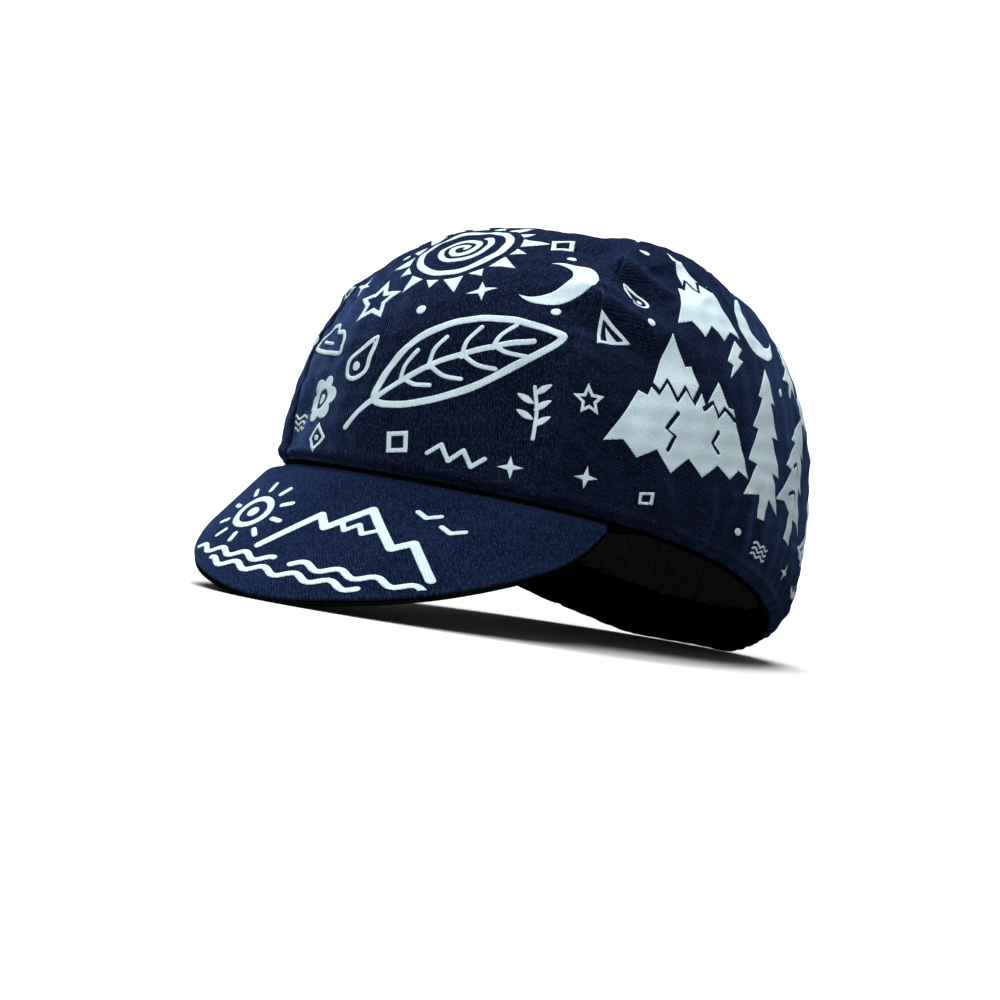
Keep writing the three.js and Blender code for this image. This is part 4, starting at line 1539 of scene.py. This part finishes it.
INK_DARK, INK_LIGHT = (0.54, 0.7, 0.77), (0.73, 0.9, 0.96)
inks = {}
for way, slant in (("upright", UPRIGHT), ("level", LEVEL), ("slanted", SLANTED)):
    inks[way] = cloth_material("pale ink " + way, INK_DARK, INK_LIGHT, INK_LIGHT, slant, INK)


def dress(piece, outside, inside=None):
    mesh = piece.data
    mesh.materials.append(outside)
    if inside is None:
        return
    mesh.materials.append(inside)
    values = np.zeros(len(mesh.vertices), np.float32)
    mesh.attributes["inside"].data.foreach_get("value", values)
    for face in mesh.polygons:
        face.material_index = int(min(values[i] for i in face.vertices) > 0.5)


outsides = {"front_gore": upright, "back_gore": upright, "left_gore": level, "right_gore": level}
for name, outside in outsides.items():
    dress(gores[name], outside, lining)
dress(peak_top, slanted)
dress(peak_under, black)
dress(band, ribbed)
ways = {"left_gore": "level", "right_gore": "level", "peak_top": "slanted"}
for panel, film in films.items():
    dress(film, inks[ways.get(panel, "upright")])
print("materials:", [m.name for m in bpy.data.materials])

# %% [markdown]
# ## Floor and light
# A studio picture of a dark cap has a pale floor that runs into a pale wall without a line.
# Two broad lamps hang above it, as big soft boxes do. The one nearer the camera lights the front
# evenly, and the one behind makes the fuzz of the cloth shine on top. The sky is dim for the cap
# but has the lit floor's own colour for the camera, so no horizon shows. The floor throws little
# light back at the cap, as if black cards lay beside it, which keeps its sides deep. From below
# the floor is clear, so that the cap's underside can be looked at.

# %% Make the floor and the lights
FLOOR_TONE = 0.76
FLOOR_BOUNCE = 0.28
SKY_LIGHT = 0.14
KEY_LIGHT = 2.2
KEY_WIDTH = 40 * DEGREE
BACK_LIGHT = 4.0
BACK_WIDTH = 32 * DEGREE
FLOOR_SIZE = 40


def make_floor():
    mesh = bpy.data.meshes.new("floor")
    half = FLOOR_SIZE / 2
    corners = [(-half, -half, 0), (half, -half, 0), (half, half, 0), (-half, half, 0)]
    mesh.from_pydata(corners, [], [(0, 1, 2, 3)])
    material = bpy.data.materials.new("pale floor")
    material.use_nodes = True
    tree = material.node_tree
    shader = tree.nodes["Principled BSDF"]
    path = tree.nodes.new("ShaderNodeLightPath")
    pale, dull = ((tone, tone, tone, 1) for tone in (FLOOR_TONE, FLOOR_BOUNCE))
    feed(tree, mix(tree, path.outputs["Is Camera Ray"], dull, pale), shader.inputs["Base Color"])
    shader.inputs["Roughness"].default_value = 1
    shader.inputs["Specular IOR Level"].default_value = 0
    glass = tree.nodes.new("ShaderNodeBsdfTransparent")
    choice = tree.nodes.new("ShaderNodeMixShader")
    side = tree.nodes.new("ShaderNodeNewGeometry")
    from_behind = side.outputs["Backfacing"]
    for source, socket in zip((from_behind, shader.outputs[0], glass.outputs[0]), choice.inputs):
        feed(tree, source, socket)
    feed(tree, choice.outputs[0], tree.nodes["Material Output"].inputs[0])
    mesh.materials.append(material)
    return add_object("floor", mesh)


def make_lamp(name, power, width, direction):
    data = bpy.data.lights.new(name, "SUN")
    data.energy = power
    data.angle = width
    lamp = add_object(name, data)
    lamp.rotation_euler = Vector(direction).to_track_quat("Z", "Y").to_euler()
    return power * direction[2] / math.pi


image_right, image_up, towards = (axes[:, i] for i in range(3))
key_from = unit(0.78 * image_up + 0.58 * towards - 0.06 * image_right)
back_from = unit(0.92 * image_up - 0.4 * towards + 0.1 * image_right)
floor = make_floor()
on_floor = make_lamp("key", KEY_LIGHT, KEY_WIDTH, key_from)
on_floor += make_lamp("back", BACK_LIGHT, BACK_WIDTH, back_from)
seen = FLOOR_TONE * (SKY_LIGHT + on_floor)

world = bpy.data.worlds.new("studio")
world.use_nodes = True
sky = world.node_tree
background = sky.nodes["Background"]
path = sky.nodes.new("ShaderNodeLightPath")
dim, bright = ((tone, tone, tone, 1) for tone in (SKY_LIGHT, seen))
feed(sky, mix(sky, path.outputs["Is Camera Ray"], dim, bright), background.inputs[0])
bpy.context.scene.world = world
bpy.context.scene.view_settings.view_transform = "Standard"
print(f"key from {np.round(key_from, 2)}, floor seen at {seen:.2f}")
